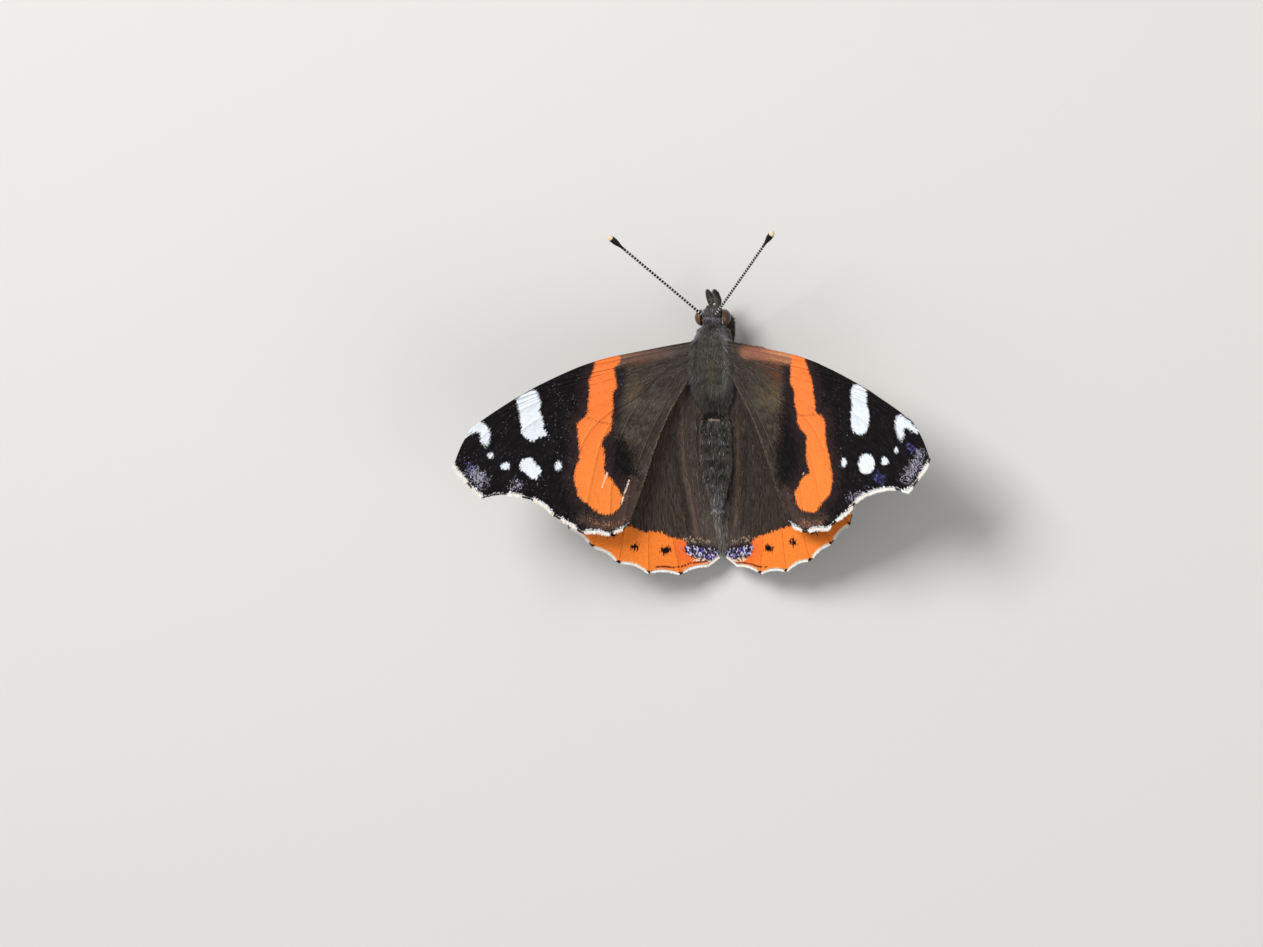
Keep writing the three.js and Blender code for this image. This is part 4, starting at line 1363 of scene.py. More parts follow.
@dataclass
class Wing:
    """One wing: a thin arched membrane with raised veins and a fringe of hair-scales."""

    plan: WingPlan
    side: Side
    markings: tuple[Marking | Stroke, ...]
    pale_margin: tuple[tuple[float, float], ...]
    rows: int = 150
    root_rows: int = 8
    root_reach: float = 1.5
    tuck_columns: int = 7
    column_width: float = 0.26
    half_thickness: float = 0.09
    vein_height: float = 0.075
    vein_width: float = 0.1
    pleat: float = 0.07

    def __post_init__(self) -> None:
        """Lay out the grid of the membrane."""
        self.name = f"{self.plan.name}_{self.side.suffix}"
        self.build_grid()

    def build_grid(self) -> None:
        """Lay out plane points, heights and rays of the membrane's grid."""
        outer = np.linspace(0, 1, self.rows)
        inner = -np.linspace(1, 0, self.root_rows, endpoint=False)
        places = np.concatenate([inner * 0.04, outer])
        self.count_rows = len(places)
        crests = []
        for index, vein in enumerate(self.plan.veins):
            curve = np.array(vein.curve)
            ends = spline(curve, np.array([0.995, 1.0]))
            speed = np.linalg.norm(ends[1] - ends[0]) / 0.005
            has_fringe = index >= self.plan.fringe_from
            stop = 1 - (self.plan.fringe / speed if has_fringe else 0.0)
            inward = np.array([-1.0, 0.12])
            root = curve[0] - inward * self.root_reach * inner[:, None]
            crests.append(np.vstack([root, spline(curve, outer * stop)]))
        self.crests = np.array(crests)
        columns, rays = [], []
        ridges = []
        for index in range(len(self.plan.veins) - 1):
            first, second = self.crests[index], self.crests[index + 1]
            width = np.linalg.norm(second - first, axis=1, keepdims=True)
            across = (second - first) / np.maximum(width, 1e-9)
            inward = np.stack([across[:, 1], -across[:, 0]], axis=1)
            count = max(5, int(math.ceil(width.max() / self.column_width)))
            vein = self.plan.veins[index]
            for step in range(count):
                share = step / count
                foot = np.minimum(self.vein_width / np.maximum(width, 1e-9), 1 / count)
                if step == 1:
                    share = foot
                elif step == count - 1:
                    share = 1 - foot
                notch = vein.scallop * smooth((places - 0.8) / 0.2)[:, None] * np.sin(np.pi * share)
                point = first + (second - first) * share + inward * notch
                columns.append(point)
                rays.append(np.broadcast_to(index + share, (self.count_rows, 1))[:, 0])
                ridges.append(index if step == 0 else -1)
        columns.append(self.crests[-1])
        rays.append(np.full(self.count_rows, float(len(self.plan.veins) - 1)))
        ridges.append(len(self.plan.veins) - 1)
        if self.plan.name == "hindwing":
            self.add_tuck(columns, rays)
        self.plane = np.array(columns).transpose(1, 0, 2)
        self.ray = np.array(rays).T
        self.place = np.broadcast_to(places[:, None], self.ray.shape)
        self.measure_veins()
        self.set_heights()

    def add_tuck(self, columns: list[np.ndarray], rays: list[np.ndarray]) -> None:
        """Carry the inner edge on beneath the abdomen, in a few more columns of the grid."""
        edge = columns[-1]
        behind = -edge[:, 1]
        across = self.plan.placed(edge, self.plan.level(edge[:, 0]), Side.RIGHT)[:, 0]
        hidden = 1.3 - 1.22 * smooth((behind - 16.5) / 3.5)
        reach = np.maximum(across - hidden, 0.05) * (1 - smooth((behind - 25.5) / 0.9)) + 0.02
        for step in range(1, self.tuck_columns + 1):
            share = step / self.tuck_columns
            columns.append(edge - np.stack([reach * share, np.zeros_like(reach)], axis=1))
            rays.append(rays[-1] + 0.02)

    def measure_veins(self) -> None:
        """Find each grid point's distance to the nearest vein that has a ridge there."""
        flat = self.plane.reshape(-1, 2)
        nearest = np.full(len(flat), np.inf)
        height = np.zeros(len(flat))
        for index, vein in enumerate(self.plan.veins):
            first = int(vein.starts * (self.rows - 1)) + (self.root_rows if vein.starts > 0 else 0)
            line = self.crests[index][first::4]
            distance = line_distance(flat, line)
            strength = vein.height * self.vein_height
            rise = strength * np.exp(-((distance / (self.vein_width * 0.8)) ** 2))
            height = np.maximum(height, rise)
            nearest = np.minimum(nearest, distance)
        self.vein_distance = nearest.reshape(self.ray.shape)
        self.ridge = height.reshape(self.ray.shape)

    def set_heights(self) -> None:
        """Give the grid its mean level with shallow pleats between the veins."""
        share = self.ray - np.floor(self.ray)
        grow = smooth((self.place - 0.15) / 0.5)
        wave = -np.sin(np.pi * share) * self.pleat * grow
        self.mean = self.plan.level(self.plane[..., 0]) + wave
        if self.plan.name == "hindwing":
            flat = self.plane.reshape(-1, 2)
            fold = self.ridge_share(flat) * 0.2 - self.valley(flat) * 0.22
            self.mean = self.mean + fold.reshape(self.ray.shape)
        rim = np.minimum.reduce([
            (1 - self.place) * 26,
            self.ray * 1.6 + 0.25,
            (self.ray.max() - self.ray) * 1.6 + 0.25,
        ])
        self.half = self.half_thickness * (0.35 + 0.65 * smooth(rim / 1.2))

    def surface(self, face: Face) -> np.ndarray:
        """Construction points of one face's grid."""
        sign = 1 if face is Face.UPPER else -1
        level = self.mean + sign * (self.half + self.ridge * (1 if sign > 0 else 0.7))
        return self.plan.placed(self.plane, level, self.side)

    def build(self, upper: bpy.types.Material, under: bpy.types.Material) -> bpy.types.Object:
        """Build the membrane.

        Args:
            upper: Material of the upper face.
            under: Material of the underside.

        Returns:
            The finished wing.
        """
        rows, columns = self.ray.shape
        top = self.surface(Face.UPPER).reshape(-1, 3)
        bottom = self.surface(Face.UNDER).reshape(-1, 3)
        count = rows * columns
        grid = np.arange(count).reshape(rows, columns)
        quads = np.stack([grid[:-1, :-1], grid[:-1, 1:], grid[1:, 1:], grid[1:, :-1]],
            axis=-1).reshape(-1, 4)
        rim = np.concatenate([grid[0, :-1], grid[:-1, -1], grid[-1, :0:-1], grid[:0:-1, 0]])
        following = np.roll(rim, -1)
        walls = np.stack([rim, rim + count, following + count, following], axis=1)
        faces = np.vstack([quads, quads[:, ::-1] + count, walls])
        if self.side is Side.LEFT:
            faces = faces[:, ::-1]
        slots = np.zeros(len(faces), int)
        slots[len(quads):2 * len(quads)] = Face.UNDER.value
        piece = mesh_object(self.name, np.vstack([top, bottom]), faces, [upper, under], slots)
        self.mark(piece)
        return settle(piece, [self.name])

    def mark(self, piece: bpy.types.Object) -> None:
        """Store the fields of the markings on the wing."""
        flat = self.plane.reshape(-1, 2)
        both = lambda values: np.concatenate([values.ravel(), values.ravel()])
        for marking in self.markings:
            set_number(piece, marking.name, both(marking.depth(flat, self.side)))
        set_vector(piece, "plane", np.hstack([both(flat[:, 0])[:, None], both(flat[:, 1])[:, None],
                                              np.zeros((2 * len(flat), 1))]))
        set_vector(piece, "rays", np.hstack([both(self.ray)[:, None], both(self.place * 26)[:, None],
                                             np.zeros((2 * len(flat), 1))]))
        set_number(piece, "vein", both(self.vein_distance))
        margin = line_distance(flat, self.plane[-1, ::2])
        set_number(piece, "margin", both(margin))
        set_number(piece, "low", both(smooth((-flat[:, 1] - 6) / 12)))
        set_number(piece, "costa", both(line_distance(flat, self.plane[:, 0][::4])))
        # glow sets the strength of the painted highlight along the costa: full on the right wing, under
        # half on the left. The streak itself is also stronger on the right.
        strength, glow = (0.95, 1.0) if self.side is Side.RIGHT else (0.7, 0.45)
        begin = smooth((flat[:, 0] - 0.3) / 1.8)
        set_number(piece, "streak_share",
            both(strength * begin * (0.7 + 0.3 * smooth((flat[:, 0] - 2.0) / 6.0))))
        set_number(piece, "glow", both(glow * smooth((flat[:, 0] - 3.0) / 4.5)))
        rim_line = self.plane[-1, self.margin_columns()][::2]
        set_number(piece, "pale_rim", both(
            self.plan.pale_rim * self.margin_pale(flat[:, 0]) - line_distance(flat, rim_line)))
        set_number(piece, "valley", both(self.valley(flat)))
        set_number(piece, "ridge", both(self.ridge_share(flat)))
        set_number(piece, "inner_field", both(smooth((self.ray.ravel() - 7.7) / 0.5)))
        set_number(piece, "tick", both(self.tick_depth(flat)))
        # Painted shade of the right wings: 0.84 on the right, 1 on the left; the hindwing finish reads it.
        set_number(piece, "painted_side_shade", both(np.full(len(flat), 0.84 if self.side is Side.RIGHT else 1.0)))

    def fold_line(self) -> np.ndarray:
        """Line of the raised fold along the hindwing's inner field."""
        right = ((0.1, -7.0), (-0.1, -12.0), (-0.5, -16.2), (-1.2, -19.9), (-1.8, -23.0))
        left = ((1.12, -7.0), (1.02, -11.9), (0.68, -16.3), (0.2, -18.3), (-0.27, -20.5), (-0.74, -23.5))
        return np.array(right if self.side is Side.RIGHT else left)

    def ridge_share(self, flat: np.ndarray) -> np.ndarray:
        """How high points lie on the raised fold of the hindwing's inner field."""
        fade = smooth((-flat[:, 1] - 6) / 4) * smooth((flat[:, 1] + 25.5) / 3)
        return np.exp(-((line_distance(flat, self.fold_line()) / 0.3) ** 2)) * fade

    def valley(self, flat: np.ndarray) -> np.ndarray:
        """How deep points lie in the valley outside the raised fold, which the finish and the hair darken
        as painted shade.
        """
        line = self.fold_line()[1:] + np.array([0.85, 0.3])
        fade = smooth((-flat[:, 1] - 9) / 5) * smooth((flat[:, 1] + 25) / 3)
        return np.exp(-((line_distance(flat, line) / 0.42) ** 2)) * fade

    def tick_depth(self, flat: np.ndarray) -> np.ndarray:
        """How far points lie inside the dark ticks where the veins meet the margin."""
        ends = self.crests[1:-2, -1]
        distance = np.min([np.linalg.norm(flat - end, axis=1) for end in ends], axis=0)
        return 0.24 - distance

    def margin_columns(self) -> slice:
        """Columns of the grid that end on the outer margin."""
        first = int(np.argmax(self.ray[0] >= self.plan.fringe_from))
        return slice(first, self.ray.shape[1] - (self.tuck_columns if self.plan.name == "hindwing" else 0))

    def margin_pale(self, out: np.ndarray) -> np.ndarray:
        """How pale the margin is at distances out from the body."""
        pale = np.zeros(len(out))
        for start, end in self.pale_margin:
            middle, half = (start + end) / 2, abs(end - start) / 2
            pale = np.maximum(pale, 0.5 + (half - np.abs(out - middle)) * 3)
        return np.clip(pale, 0, 1)

    def margin_line(self) -> dict[str, np.ndarray]:
        """Roots, outward ways and paleness of the fringe along the outer margin."""
        part = self.margin_columns()
        edge_plane = self.plane[-1, part]
        before = self.plane[-4, part]
        level = self.mean[-1, part]
        root = self.plan.placed(edge_plane, level, self.side)
        inner = self.plan.placed(before, self.mean[-4, part], self.side)
        above = self.plan.placed(edge_plane, level + 1, self.side)
        pale = self.margin_pale(edge_plane[:, 0])
        return {"root": root, "out": unit(root - inner), "up": unit(above - root), "pale": pale,
                "grow": 0.55 + 0.45 * pale}


@dataclass
class Fringe:
    """Hair-scales along one wing's outer margin, set by Geometry Nodes."""

    wing: Wing
    spacing: float = 0.05
    length: float = 0.42
    width: float = 0.07
    seed: int = 3

    def vane(self) -> bpy.types.Object:
        """Make one flat hair-scale, one unit long along Z."""
        stations = ((-0.3, 0.5), (0.4, 0.62), (0.8, 0.5), (1.0, 0.12))
        points, faces = [], []
        for height, half in stations:
            points += [(-half, -0.12, height), (half, -0.12, height), (half, 0.12, height),
                (-half, 0.12, height)]
        for level in range(len(stations) - 1):
            for corner in range(4):
                a = level * 4 + corner
                b = level * 4 + (corner + 1) % 4
                faces.append((a, b, b + 4, a + 4))
        faces.append((3, 2, 1, 0))
        faces.append((12, 13, 14, 15))
        mesh = bpy.data.meshes.new("vane")
        mesh.from_pydata(points, [], faces)
        return bpy.data.objects.new("vane", mesh)

    def tree(self) -> bpy.types.NodeTree:
        """Write the node tree that lays vanes along the margin."""
        tree = bpy.data.node_groups.new("margin_fringe", "GeometryNodeTree")
        face = tree.interface
        face.new_socket("Geometry", in_out="INPUT", socket_type="NodeSocketGeometry")
        for name, kind in (("Vane", "Object"), ("Spacing", "Float"), ("Length", "Float"),
            ("Width", "Float"),
                           ("Seed", "Int"), ("Finish", "Material")):
            face.new_socket(name, in_out="INPUT", socket_type=f"NodeSocket{kind}")
        face.new_socket("Geometry", in_out="OUTPUT", socket_type="NodeSocketGeometry")
        add = tree.nodes.new
        link = tree.links.new
        entry, leave = add("NodeGroupInput"), add("NodeGroupOutput")
        curve, resample = add("GeometryNodeMeshToCurve"), add("GeometryNodeResampleCurve")
        resample.mode = "LENGTH"
        link(entry.outputs["Geometry"], curve.inputs["Mesh"])
        link(curve.outputs["Curve"], resample.inputs["Curve"])
        link(entry.outputs["Spacing"], resample.inputs["Length"])
        info, scatter = add("GeometryNodeObjectInfo"), add("GeometryNodeInstanceOnPoints")
        link(entry.outputs["Vane"], info.inputs["Object"])
        link(resample.outputs["Curve"], scatter.inputs["Points"])
        link(info.outputs["Geometry"], scatter.inputs["Instance"])
        out, up = add("GeometryNodeInputNamedAttribute"), add("GeometryNodeInputNamedAttribute")
        for node, name in ((out, "out"), (up, "up")):
            node.data_type = "FLOAT_VECTOR"
            node.inputs["Name"].default_value = name
        sway = add("FunctionNodeRandomValue")
        sway.data_type = "FLOAT_VECTOR"
        sway.inputs[0].default_value = (-0.16, -0.16, -0.16)
        sway.inputs[1].default_value = (0.16, 0.16, 0.16)
        link(entry.outputs["Seed"], sway.inputs["Seed"])
        lean = add("ShaderNodeVectorMath")
        link(out.outputs["Attribute"], lean.inputs[0])
        link(sway.outputs[0], lean.inputs[1])
        turn = add("FunctionNodeAxesToRotation")
        turn.primary_axis = "Z"
        turn.secondary_axis = "Y"
        link(lean.outputs[0], turn.inputs[0])
        link(up.outputs["Attribute"], turn.inputs[1])
        link(turn.outputs[0], scatter.inputs["Rotation"])
        reach = add("FunctionNodeRandomValue")
        reach.data_type = "FLOAT"
        reach.inputs[2].default_value = 0.6
        reach.inputs[3].default_value = 1.1
        link(entry.outputs["Seed"], reach.inputs["Seed"])
        grow = add("ShaderNodeMath")
        grow.operation = "MULTIPLY"
        part = add("GeometryNodeInputNamedAttribute")
        part.data_type = "FLOAT"
        part.inputs["Name"].default_value = "grow"
        scaled = add("ShaderNodeMath")
        scaled.operation = "MULTIPLY"
        link(reach.outputs[1], scaled.inputs[0])
        link(part.outputs["Attribute"], scaled.inputs[1])
        link(scaled.outputs[0], grow.inputs[0])
        link(entry.outputs["Length"], grow.inputs[1])
        size = add("ShaderNodeCombineXYZ")
        link(entry.outputs["Width"], size.inputs["X"])
        link(entry.outputs["Width"], size.inputs["Y"])
        link(grow.outputs[0], size.inputs["Z"])
        link(size.outputs[0], scatter.inputs["Scale"])
        real, dress = add("GeometryNodeRealizeInstances"), add("GeometryNodeSetMaterial")
        link(scatter.outputs["Instances"], real.inputs["Geometry"])
        link(real.outputs["Geometry"], dress.inputs["Geometry"])
        link(entry.outputs["Finish"], dress.inputs["Material"])
        link(dress.outputs["Geometry"], leave.inputs["Geometry"])
        return tree

    def build(self, finish: bpy.types.Material) -> bpy.types.Object:
        """Lay the vanes and turn them into a plain mesh.

        Args:
            finish: Material of the vanes.

        Returns:
            The finished fringe.
        """
        line = self.wing.margin_line()
        count = len(line["root"])
        mesh = bpy.data.meshes.new("margin")
        pairs = [(index, index + 1) for index in range(count - 1)]
        mesh.from_pydata([tuple(p) for p in BUILD.metres(line["root"])], pairs, [])
        carrier = bpy.data.objects.new("margin", mesh)
        bpy.context.scene.collection.objects.link(carrier)
        set_vector(carrier, "out", line["out"])
        set_vector(carrier, "up", line["up"])
        set_number(carrier, "pale", line["pale"])
        set_number(carrier, "grow", line["grow"])
        values = {"Vane": self.vane(), "Spacing": self.spacing * 0.001, "Length": self.length * 0.001,
                  "Width": self.width * 0.001, "Seed": self.seed, "Finish": finish}
        return grown(carrier, self.tree(), values, f"{self.wing.name}_fringe")


def grown(
    carrier: bpy.types.Object,
    tree: bpy.types.NodeTree,
    values: dict[str, object],
    name: str,
) -> bpy.types.Object:
    """Run a node tree on a carrier and keep the result as a plain mesh.

    Args:
        carrier: Object that the tree works on; it is removed.
        tree: The node tree.
        values: Values of the tree's named inputs.
        name: Name of the new piece.

    Returns:
        The new piece.
    """
    modifier = carrier.modifiers.new("grow", "NODES")
    modifier.node_group = tree
    keys = {item.name: item.identifier for item in tree.interface.items_tree if item.in_out == "INPUT"}
    for key, value in values.items():
        modifier[keys[key]] = value
    carrier.update_tag()
    bpy.context.view_layer.update()
    evaluated = carrier.evaluated_get(bpy.context.evaluated_depsgraph_get())
    mesh = bpy.data.meshes.new_from_object(evaluated)
    mesh.name = name
    carrier.modifiers.remove(modifier)
    piece = bpy.data.objects.new(name, mesh)
    bpy.context.scene.collection.objects.link(piece)
    bpy.data.objects.remove(carrier)
    return settle(piece, [])


@dataclass(frozen=True)
class Station:
    """One section of the body: place along Y, centre height and half sizes."""

    y: float
    z: float
    half: float
    rise: float
    roundness: float


@dataclass
class Skin:
    """One skin over abdomen, thorax and head, inside the solids by the depth of the hair."""

    inset: float = 0.2
    rings: int = 260
    sides: int = 72

    HEAD = ((4.1, -2.4, 0.6, 0.7), (3.85, -2.3, 0.95, 1.1), (3.4, -2.22, 1.1, 1.35), (2.9, -2.2, 1.12, 1.4),
            (2.4, -2.22, 1.0, 1.2))
    THORAX = ((1.55, -2.22, 1.65, 1.6), (0.9, -2.15, 2.0, 1.95), (0.0, -2.05, 2.25, 2.25),
              (-1.2, -2.0, 2.42, 2.45), (-2.6, -2.0, 2.45, 2.5), (-4.0, -2.05, 2.3, 2.35),
              (-5.2, -2.2, 2.0, 2.0), (-6.1, -2.35, 1.65, 1.6))
    COLLAR_AT = 1.2
    WAIST_AT = -8.4
    # Place and depth of the painted highlight across the abdomen.
    FLASH_AT = -9.4
    FLASH_DEPTH = 0.11
    SHEEN_AT = (0.15, -2.8)
    ABDOMEN_FRONT = -6.9
    ABDOMEN_REAR = -19.9
    ABDOMEN_HALF = (1.95, 1.75)
    SEGMENTS = 7
    SCUTELLUM = np.array([(-0.9, -3.9), (-0.3, -4.9), (0.3, -6.6), (1.3, -5.6), (1.8, -4.6)])

    def stations(self) -> list[Station]:
        """Sections from the head's front to the tail."""
        found = [Station(y, z, half, rise, 2.7) for y, z, half, rise in self.HEAD]
        found.append(Station(2.0, -2.24, 0.85, 0.95, 2.4))
        found += [Station(y, z, half, rise, 2.2) for y, z, half, rise in self.THORAX]
        for step in range(15):
            along = step / 14
            swell = 1 - 0.38 * (1 - float(smooth(along / 0.28))) - 0.75 * (max(along - 0.5, 0) / 0.5) ** 2
            level = -2.4 - 0.5 * float(smooth(along))
            y = self.ABDOMEN_FRONT + (self.ABDOMEN_REAR - self.ABDOMEN_FRONT) * along
            half, rise = self.ABDOMEN_HALF
            found.append(Station(y, level, half * swell, rise * swell, 2.0))
        return found

    def __post_init__(self) -> None:
        """Lay out the sections along the body."""
        table = np.array([(s.y, s.z, s.half, s.rise, s.roundness) for s in self.stations()])
        self.ys = table[::-1, 0]
        self.table = table[::-1, 1:]

    def section(self, y: np.ndarray) -> np.ndarray:
        """Centre height, half width, half height and roundness at places along Y."""
        values = np.stack([np.interp(y, self.ys, self.table[:, k]) for k in range(4)], axis=-1)
        return values

    def at(self, y: np.ndarray, angle: np.ndarray, lift: float = 0.0) -> np.ndarray:
        """Point of the skin at a place along Y and an angle round the body.

        Args:
            y: Place along the body.
            angle: Angle round the body; 0 is the right side and a quarter turn the top.
            lift: Distance above the skin.

        Returns:
            Construction points.
        """
        values = self.section(y)
        power = 2 / values[..., 3]
        c, s = np.cos(angle), np.sin(angle)
        groove = self.groove(y)
        half = np.maximum(values[..., 1] - self.inset - groove + lift, 0.05)
        rise = np.maximum(values[..., 2] - self.inset - groove + lift, 0.05)
        x = half * np.sign(c) * np.abs(c) ** power
        z = values[..., 0] + rise * np.sign(s) * np.abs(s) ** power
        return np.stack([x, y, z], axis=-1)

    def groove(self, y: np.ndarray) -> np.ndarray:
        """Depth of the rings between the abdomen's segments."""
        length = (self.ABDOMEN_FRONT - self.ABDOMEN_REAR) / self.SEGMENTS
        phase = np.mod((self.ABDOMEN_FRONT - y) / length, 1.0)
        near = np.minimum(phase, 1 - phase) * length
        on = smooth((self.ABDOMEN_FRONT - 0.3 - y) / 0.6)
        return 0.07 * np.exp(-((near / 0.12) ** 2)) * on

    def fields(self, y: np.ndarray, angle: np.ndarray) -> dict[str, np.ndarray]:
        """Shares of grey, lilac, cream, olive and dark at places on the body; the olive is a painted sheen
        on the thorax, and part of the cream a painted highlight across the abdomen.

        Args:
            y: Place along the body.
            angle: Angle round the body.

        Returns:
            One array for each field.
        """
        up = np.sin(angle)
        across = self.section(y)[..., 1] * np.cos(angle)
        top = smooth((up - 0.1) / 0.7)
        flank = smooth(1 - np.abs(up - 0.55) / 0.4)
        under = smooth((-up + 0.1) / 0.6)
        length = (self.ABDOMEN_FRONT - self.ABDOMEN_REAR) / self.SEGMENTS
        phase = np.mod((self.ABDOMEN_FRONT - y) / length, 1.0)
        abdomen = smooth((self.ABDOMEN_FRONT + 0.6 - y) / 0.8)
        rings = np.exp(-(((phase - 0.5) / 0.17) ** 2)) * abdomen
        tail = smooth((-15.5 - y) / 3.5)
        head = smooth((y - 2.2) / 0.5)
        collar = np.exp(-(((y - self.COLLAR_AT) / 0.45) ** 2))
        waist = np.exp(-(((y - self.WAIST_AT) / 0.9) ** 2)) * top
        lobe = np.stack([across, y], axis=-1)
        seam = line_distance(lobe.reshape(-1, 2), self.SCUTELLUM).reshape(y.shape)
        window = smooth((0.95 - np.abs(across - 0.2)) / 0.3) * top
        # Painted highlight: a thin pale line across the top of the abdomen at FLASH_AT; clear shortens the
        # hair around it so the pale skin shows.
        flash_highlight = 1.4 * np.exp(-(((y - self.FLASH_AT) / self.FLASH_DEPTH) ** 2)) * window
        clear = smooth((y - self.FLASH_AT + 0.25) / 0.15) * smooth((self.FLASH_AT + 0.8 - y) / 0.3) * window
        blotch = np.sin(2.6 * y + 1.4 * np.sin(5.0 * angle)) * np.sin(4.0 * angle + 1.7 * y)
        grey = np.clip(0.1 * head + 0.35 * rings + 0.45 * flank * (1 - abdomen) + 0.4 * tail
            + 0.2 * collar, 0, 1)
        lilac = np.clip(0.08 * head * top + 0.2 * collar * flank, 0, 1)
        cream = np.clip(0.75 * under * (1 - 0.3 * abdomen) + flash_highlight, 0, 1)
        dark = np.clip(
            0.75 * waist + 0.7 * np.exp(-((seam / 0.14) ** 2)) + 0.42 * head
            + abdomen * (1 - tail) * top * (0.2 + 0.2 * (1 - rings) + 0.4 * smooth(blotch * 1.6))
            + 0.3 * np.exp(-(((y - 0.35) / 0.16) ** 2)) + 0.3 * np.exp(-(((y - 2.1) / 0.2) ** 2)),
            0, 1)
        # Painted sheen: an olive spot on top of the thorax at SHEEN_AT.
        sheen_across, sheen_at = self.SHEEN_AT
        olive = 0.8 * np.exp(-(((across - sheen_across) / 0.4) ** 2) - ((y - sheen_at) / 0.8) ** 2) * top
        return {"grey": grey, "lilac": lilac, "cream": cream, "olive": olive, "clear": clear,
                "dark": dark * (1 - np.clip(flash_highlight, 0, 1))}

    def unwrapped(self, y: np.ndarray, angle: np.ndarray) -> np.ndarray:
        """Place of a point of the body on the skin's own unwrap."""
        across = np.mod(angle / (2 * np.pi) + 0.25, 1.0)
        along = (y - self.ABDOMEN_REAR) / (4.4 - self.ABDOMEN_REAR)
        return np.stack([0.02 + 0.96 * across, 0.02 + 0.96 * along], axis=-1)

    def build(self, finish: bpy.types.Material) -> bpy.types.Object:
        """Build the skin.

        Args:
            finish: Material of the skin.

        Returns:
            The finished skin.
        """
        places = np.linspace(self.ys[0] + 0.02, self.ys[-1] - 0.02, self.rings)
        angles = np.linspace(0, 2 * np.pi, self.sides, endpoint=False) - np.pi / 2
        y, angle = np.meshgrid(places, angles, indexing="ij")
        points = self.at(y, angle).reshape(-1, 3)
        grid = np.arange(len(points)).reshape(self.rings, self.sides)
        turned = np.roll(grid, -1, axis=1)
        quads = np.stack([grid[:-1], grid[1:], turned[1:], turned[:-1]], axis=-1).reshape(-1, 4)
        ends = []
        for ring, flip in ((grid[0], False), (grid[-1], True)):
            centre = len(points)
            points = np.vstack([points, points[ring].mean(axis=0)])
            cap = np.stack([np.full(self.sides, centre), ring, np.roll(ring, -1)], axis=1)
            ends.append(cap[:, ::-1] if flip else cap)
        caps = np.vstack(ends)
        faces = np.vstack([np.stack([quads[:, 0], quads[:, 1], quads[:, 2]], 1),
                           np.stack([quads[:, 0], quads[:, 2], quads[:, 3]], 1), caps])
        piece = mesh_object("body_skin", points, faces, [finish])
        y_all = np.append(y.ravel(), [places[0], places[-1]])
        angle_all = np.append(angle.ravel(), [0.0, 0.0])
        for name, values in self.fields(y_all, angle_all).items():
            set_number(piece, name, values)
        set_bake_map(piece, self.unwrapped(y_all, angle_all))
        return settle(piece, ["thorax", "abdomen", "head"])


@dataclass
class Tufts:
    """Roots, ways and sizes of many tufts, and the mesh that they make."""

    root: np.ndarray
    normal: np.ndarray
    way: np.ndarray
    length: np.ndarray
    width: np.ndarray
    stand: np.ndarray
    map_place: np.ndarray
    fields: dict[str, np.ndarray]
    bend: float = 0.6
    sink: float = 0.08

    RING_SHARES = (0.0, 0.35, 0.7)
    RING_WIDTHS = (1.0, 0.85, 0.5)

    def points(self) -> np.ndarray:
        """Points of all tufts: three rings of three and a tip."""
        side = unit(np.cross(self.way, self.normal))
        reach = self.length[:, None]
        rings = []
        for share, width in zip(self.RING_SHARES + (1.0,), self.RING_WIDTHS + (0.0,)):
            height = self.stand * share * (1 - self.bend * share)
            centre = self.root + self.way * reach * share + self.normal * (height[:, None] * reach
                - self.sink * (1 - share))
            half = (self.width * width / 2)[:, None]
            if width > 0:
                rings += [centre - side * half, centre + side * half, centre + self.normal * half * 0.9]
            else:
                rings.append(centre)
        return np.stack(rings, axis=1)

    def build(self, name: str, finish: bpy.types.Material, slot: str = "body_hair") -> bpy.types.Object:
        """Build the tufts as one closed-tuft mesh.

        Args:
            name: Name of the piece.
            finish: Material of the tufts.
            slot: The record's material slot; not used.

        Returns:
            The finished coat piece.
        """
        points = self.points()
        count = len(points)
        local = [(0, 2, 1)]
        for ring in (0, 3):
            for corner, after in ((0, 1), (1, 2), (2, 0)):
                a, b, c, d = ring + corner, ring + after, ring + 3 + after, ring + 3 + corner
                local += [(a, b, c), (a, c, d)]
        local += [(6, 7, 9), (7, 8, 9), (8, 6, 9)]
        faces = (np.arange(count)[:, None, None] * 10 + np.array(local)[None]).reshape(-1, 3)
        piece = mesh_object(name, points.reshape(-1, 3), faces, [finish])
        tip = np.array([0, 0, 0, 0.35, 0.35, 0.35, 0.7, 0.7, 0.7, 1.0])
        set_number(piece, "tip", np.tile(tip, count))
        for field, values in self.fields.items():
            set_number(piece, field, np.repeat(values, 10))
        patch = np.array([(-1, -1), (1, -1), (0, -1), (-1, 0), (1, 0), (0, 0), (-0.6, 0.6), (0.6, 0.6),
            (0, 0.6), (0, 1)])
        places = self.map_place[:, None, :] + patch[None] * 0.0015
        set_bake_map(piece, places.reshape(-1, 2))
        return settle(piece, [])


def nearest(places: np.ndarray, centres: np.ndarray) -> np.ndarray:
    """Number of the nearest centre for each place."""
    found = []
    for start in range(0, len(places), 2000):
        gaps = places[start:start + 2000, None] - centres[None]
        found.append(np.argmin(np.sum(gaps * gaps, axis=2), axis=1))
    return np.concatenate(found)


@dataclass(frozen=True)
class Locks:
    """How tufts gather in locks of one tone that lean together."""

    size: int = 12
    gather: float = 0.5
    shared_tone: float = 0.6

    def sort(self, places: np.ndarray, random: np.random.Generator) -> tuple[np.ndarray, np.ndarray]:
        """Sort tufts into locks.

        Args:
            places: Place of each tuft, one row each.
            random: Source of chance numbers.

        Returns:
            For each tuft the number of its lock's middle tuft, and its tone from 0 to 1.
        """
        count = len(places)
        hearts = random.choice(count, max(count // self.size, 1), replace=False)
        lock = nearest(places, places[hearts])
        tone = random.random(len(hearts))[lock]
        return hearts[lock], self.shared_tone * tone + (1 - self.shared_tone) * random.random(count)


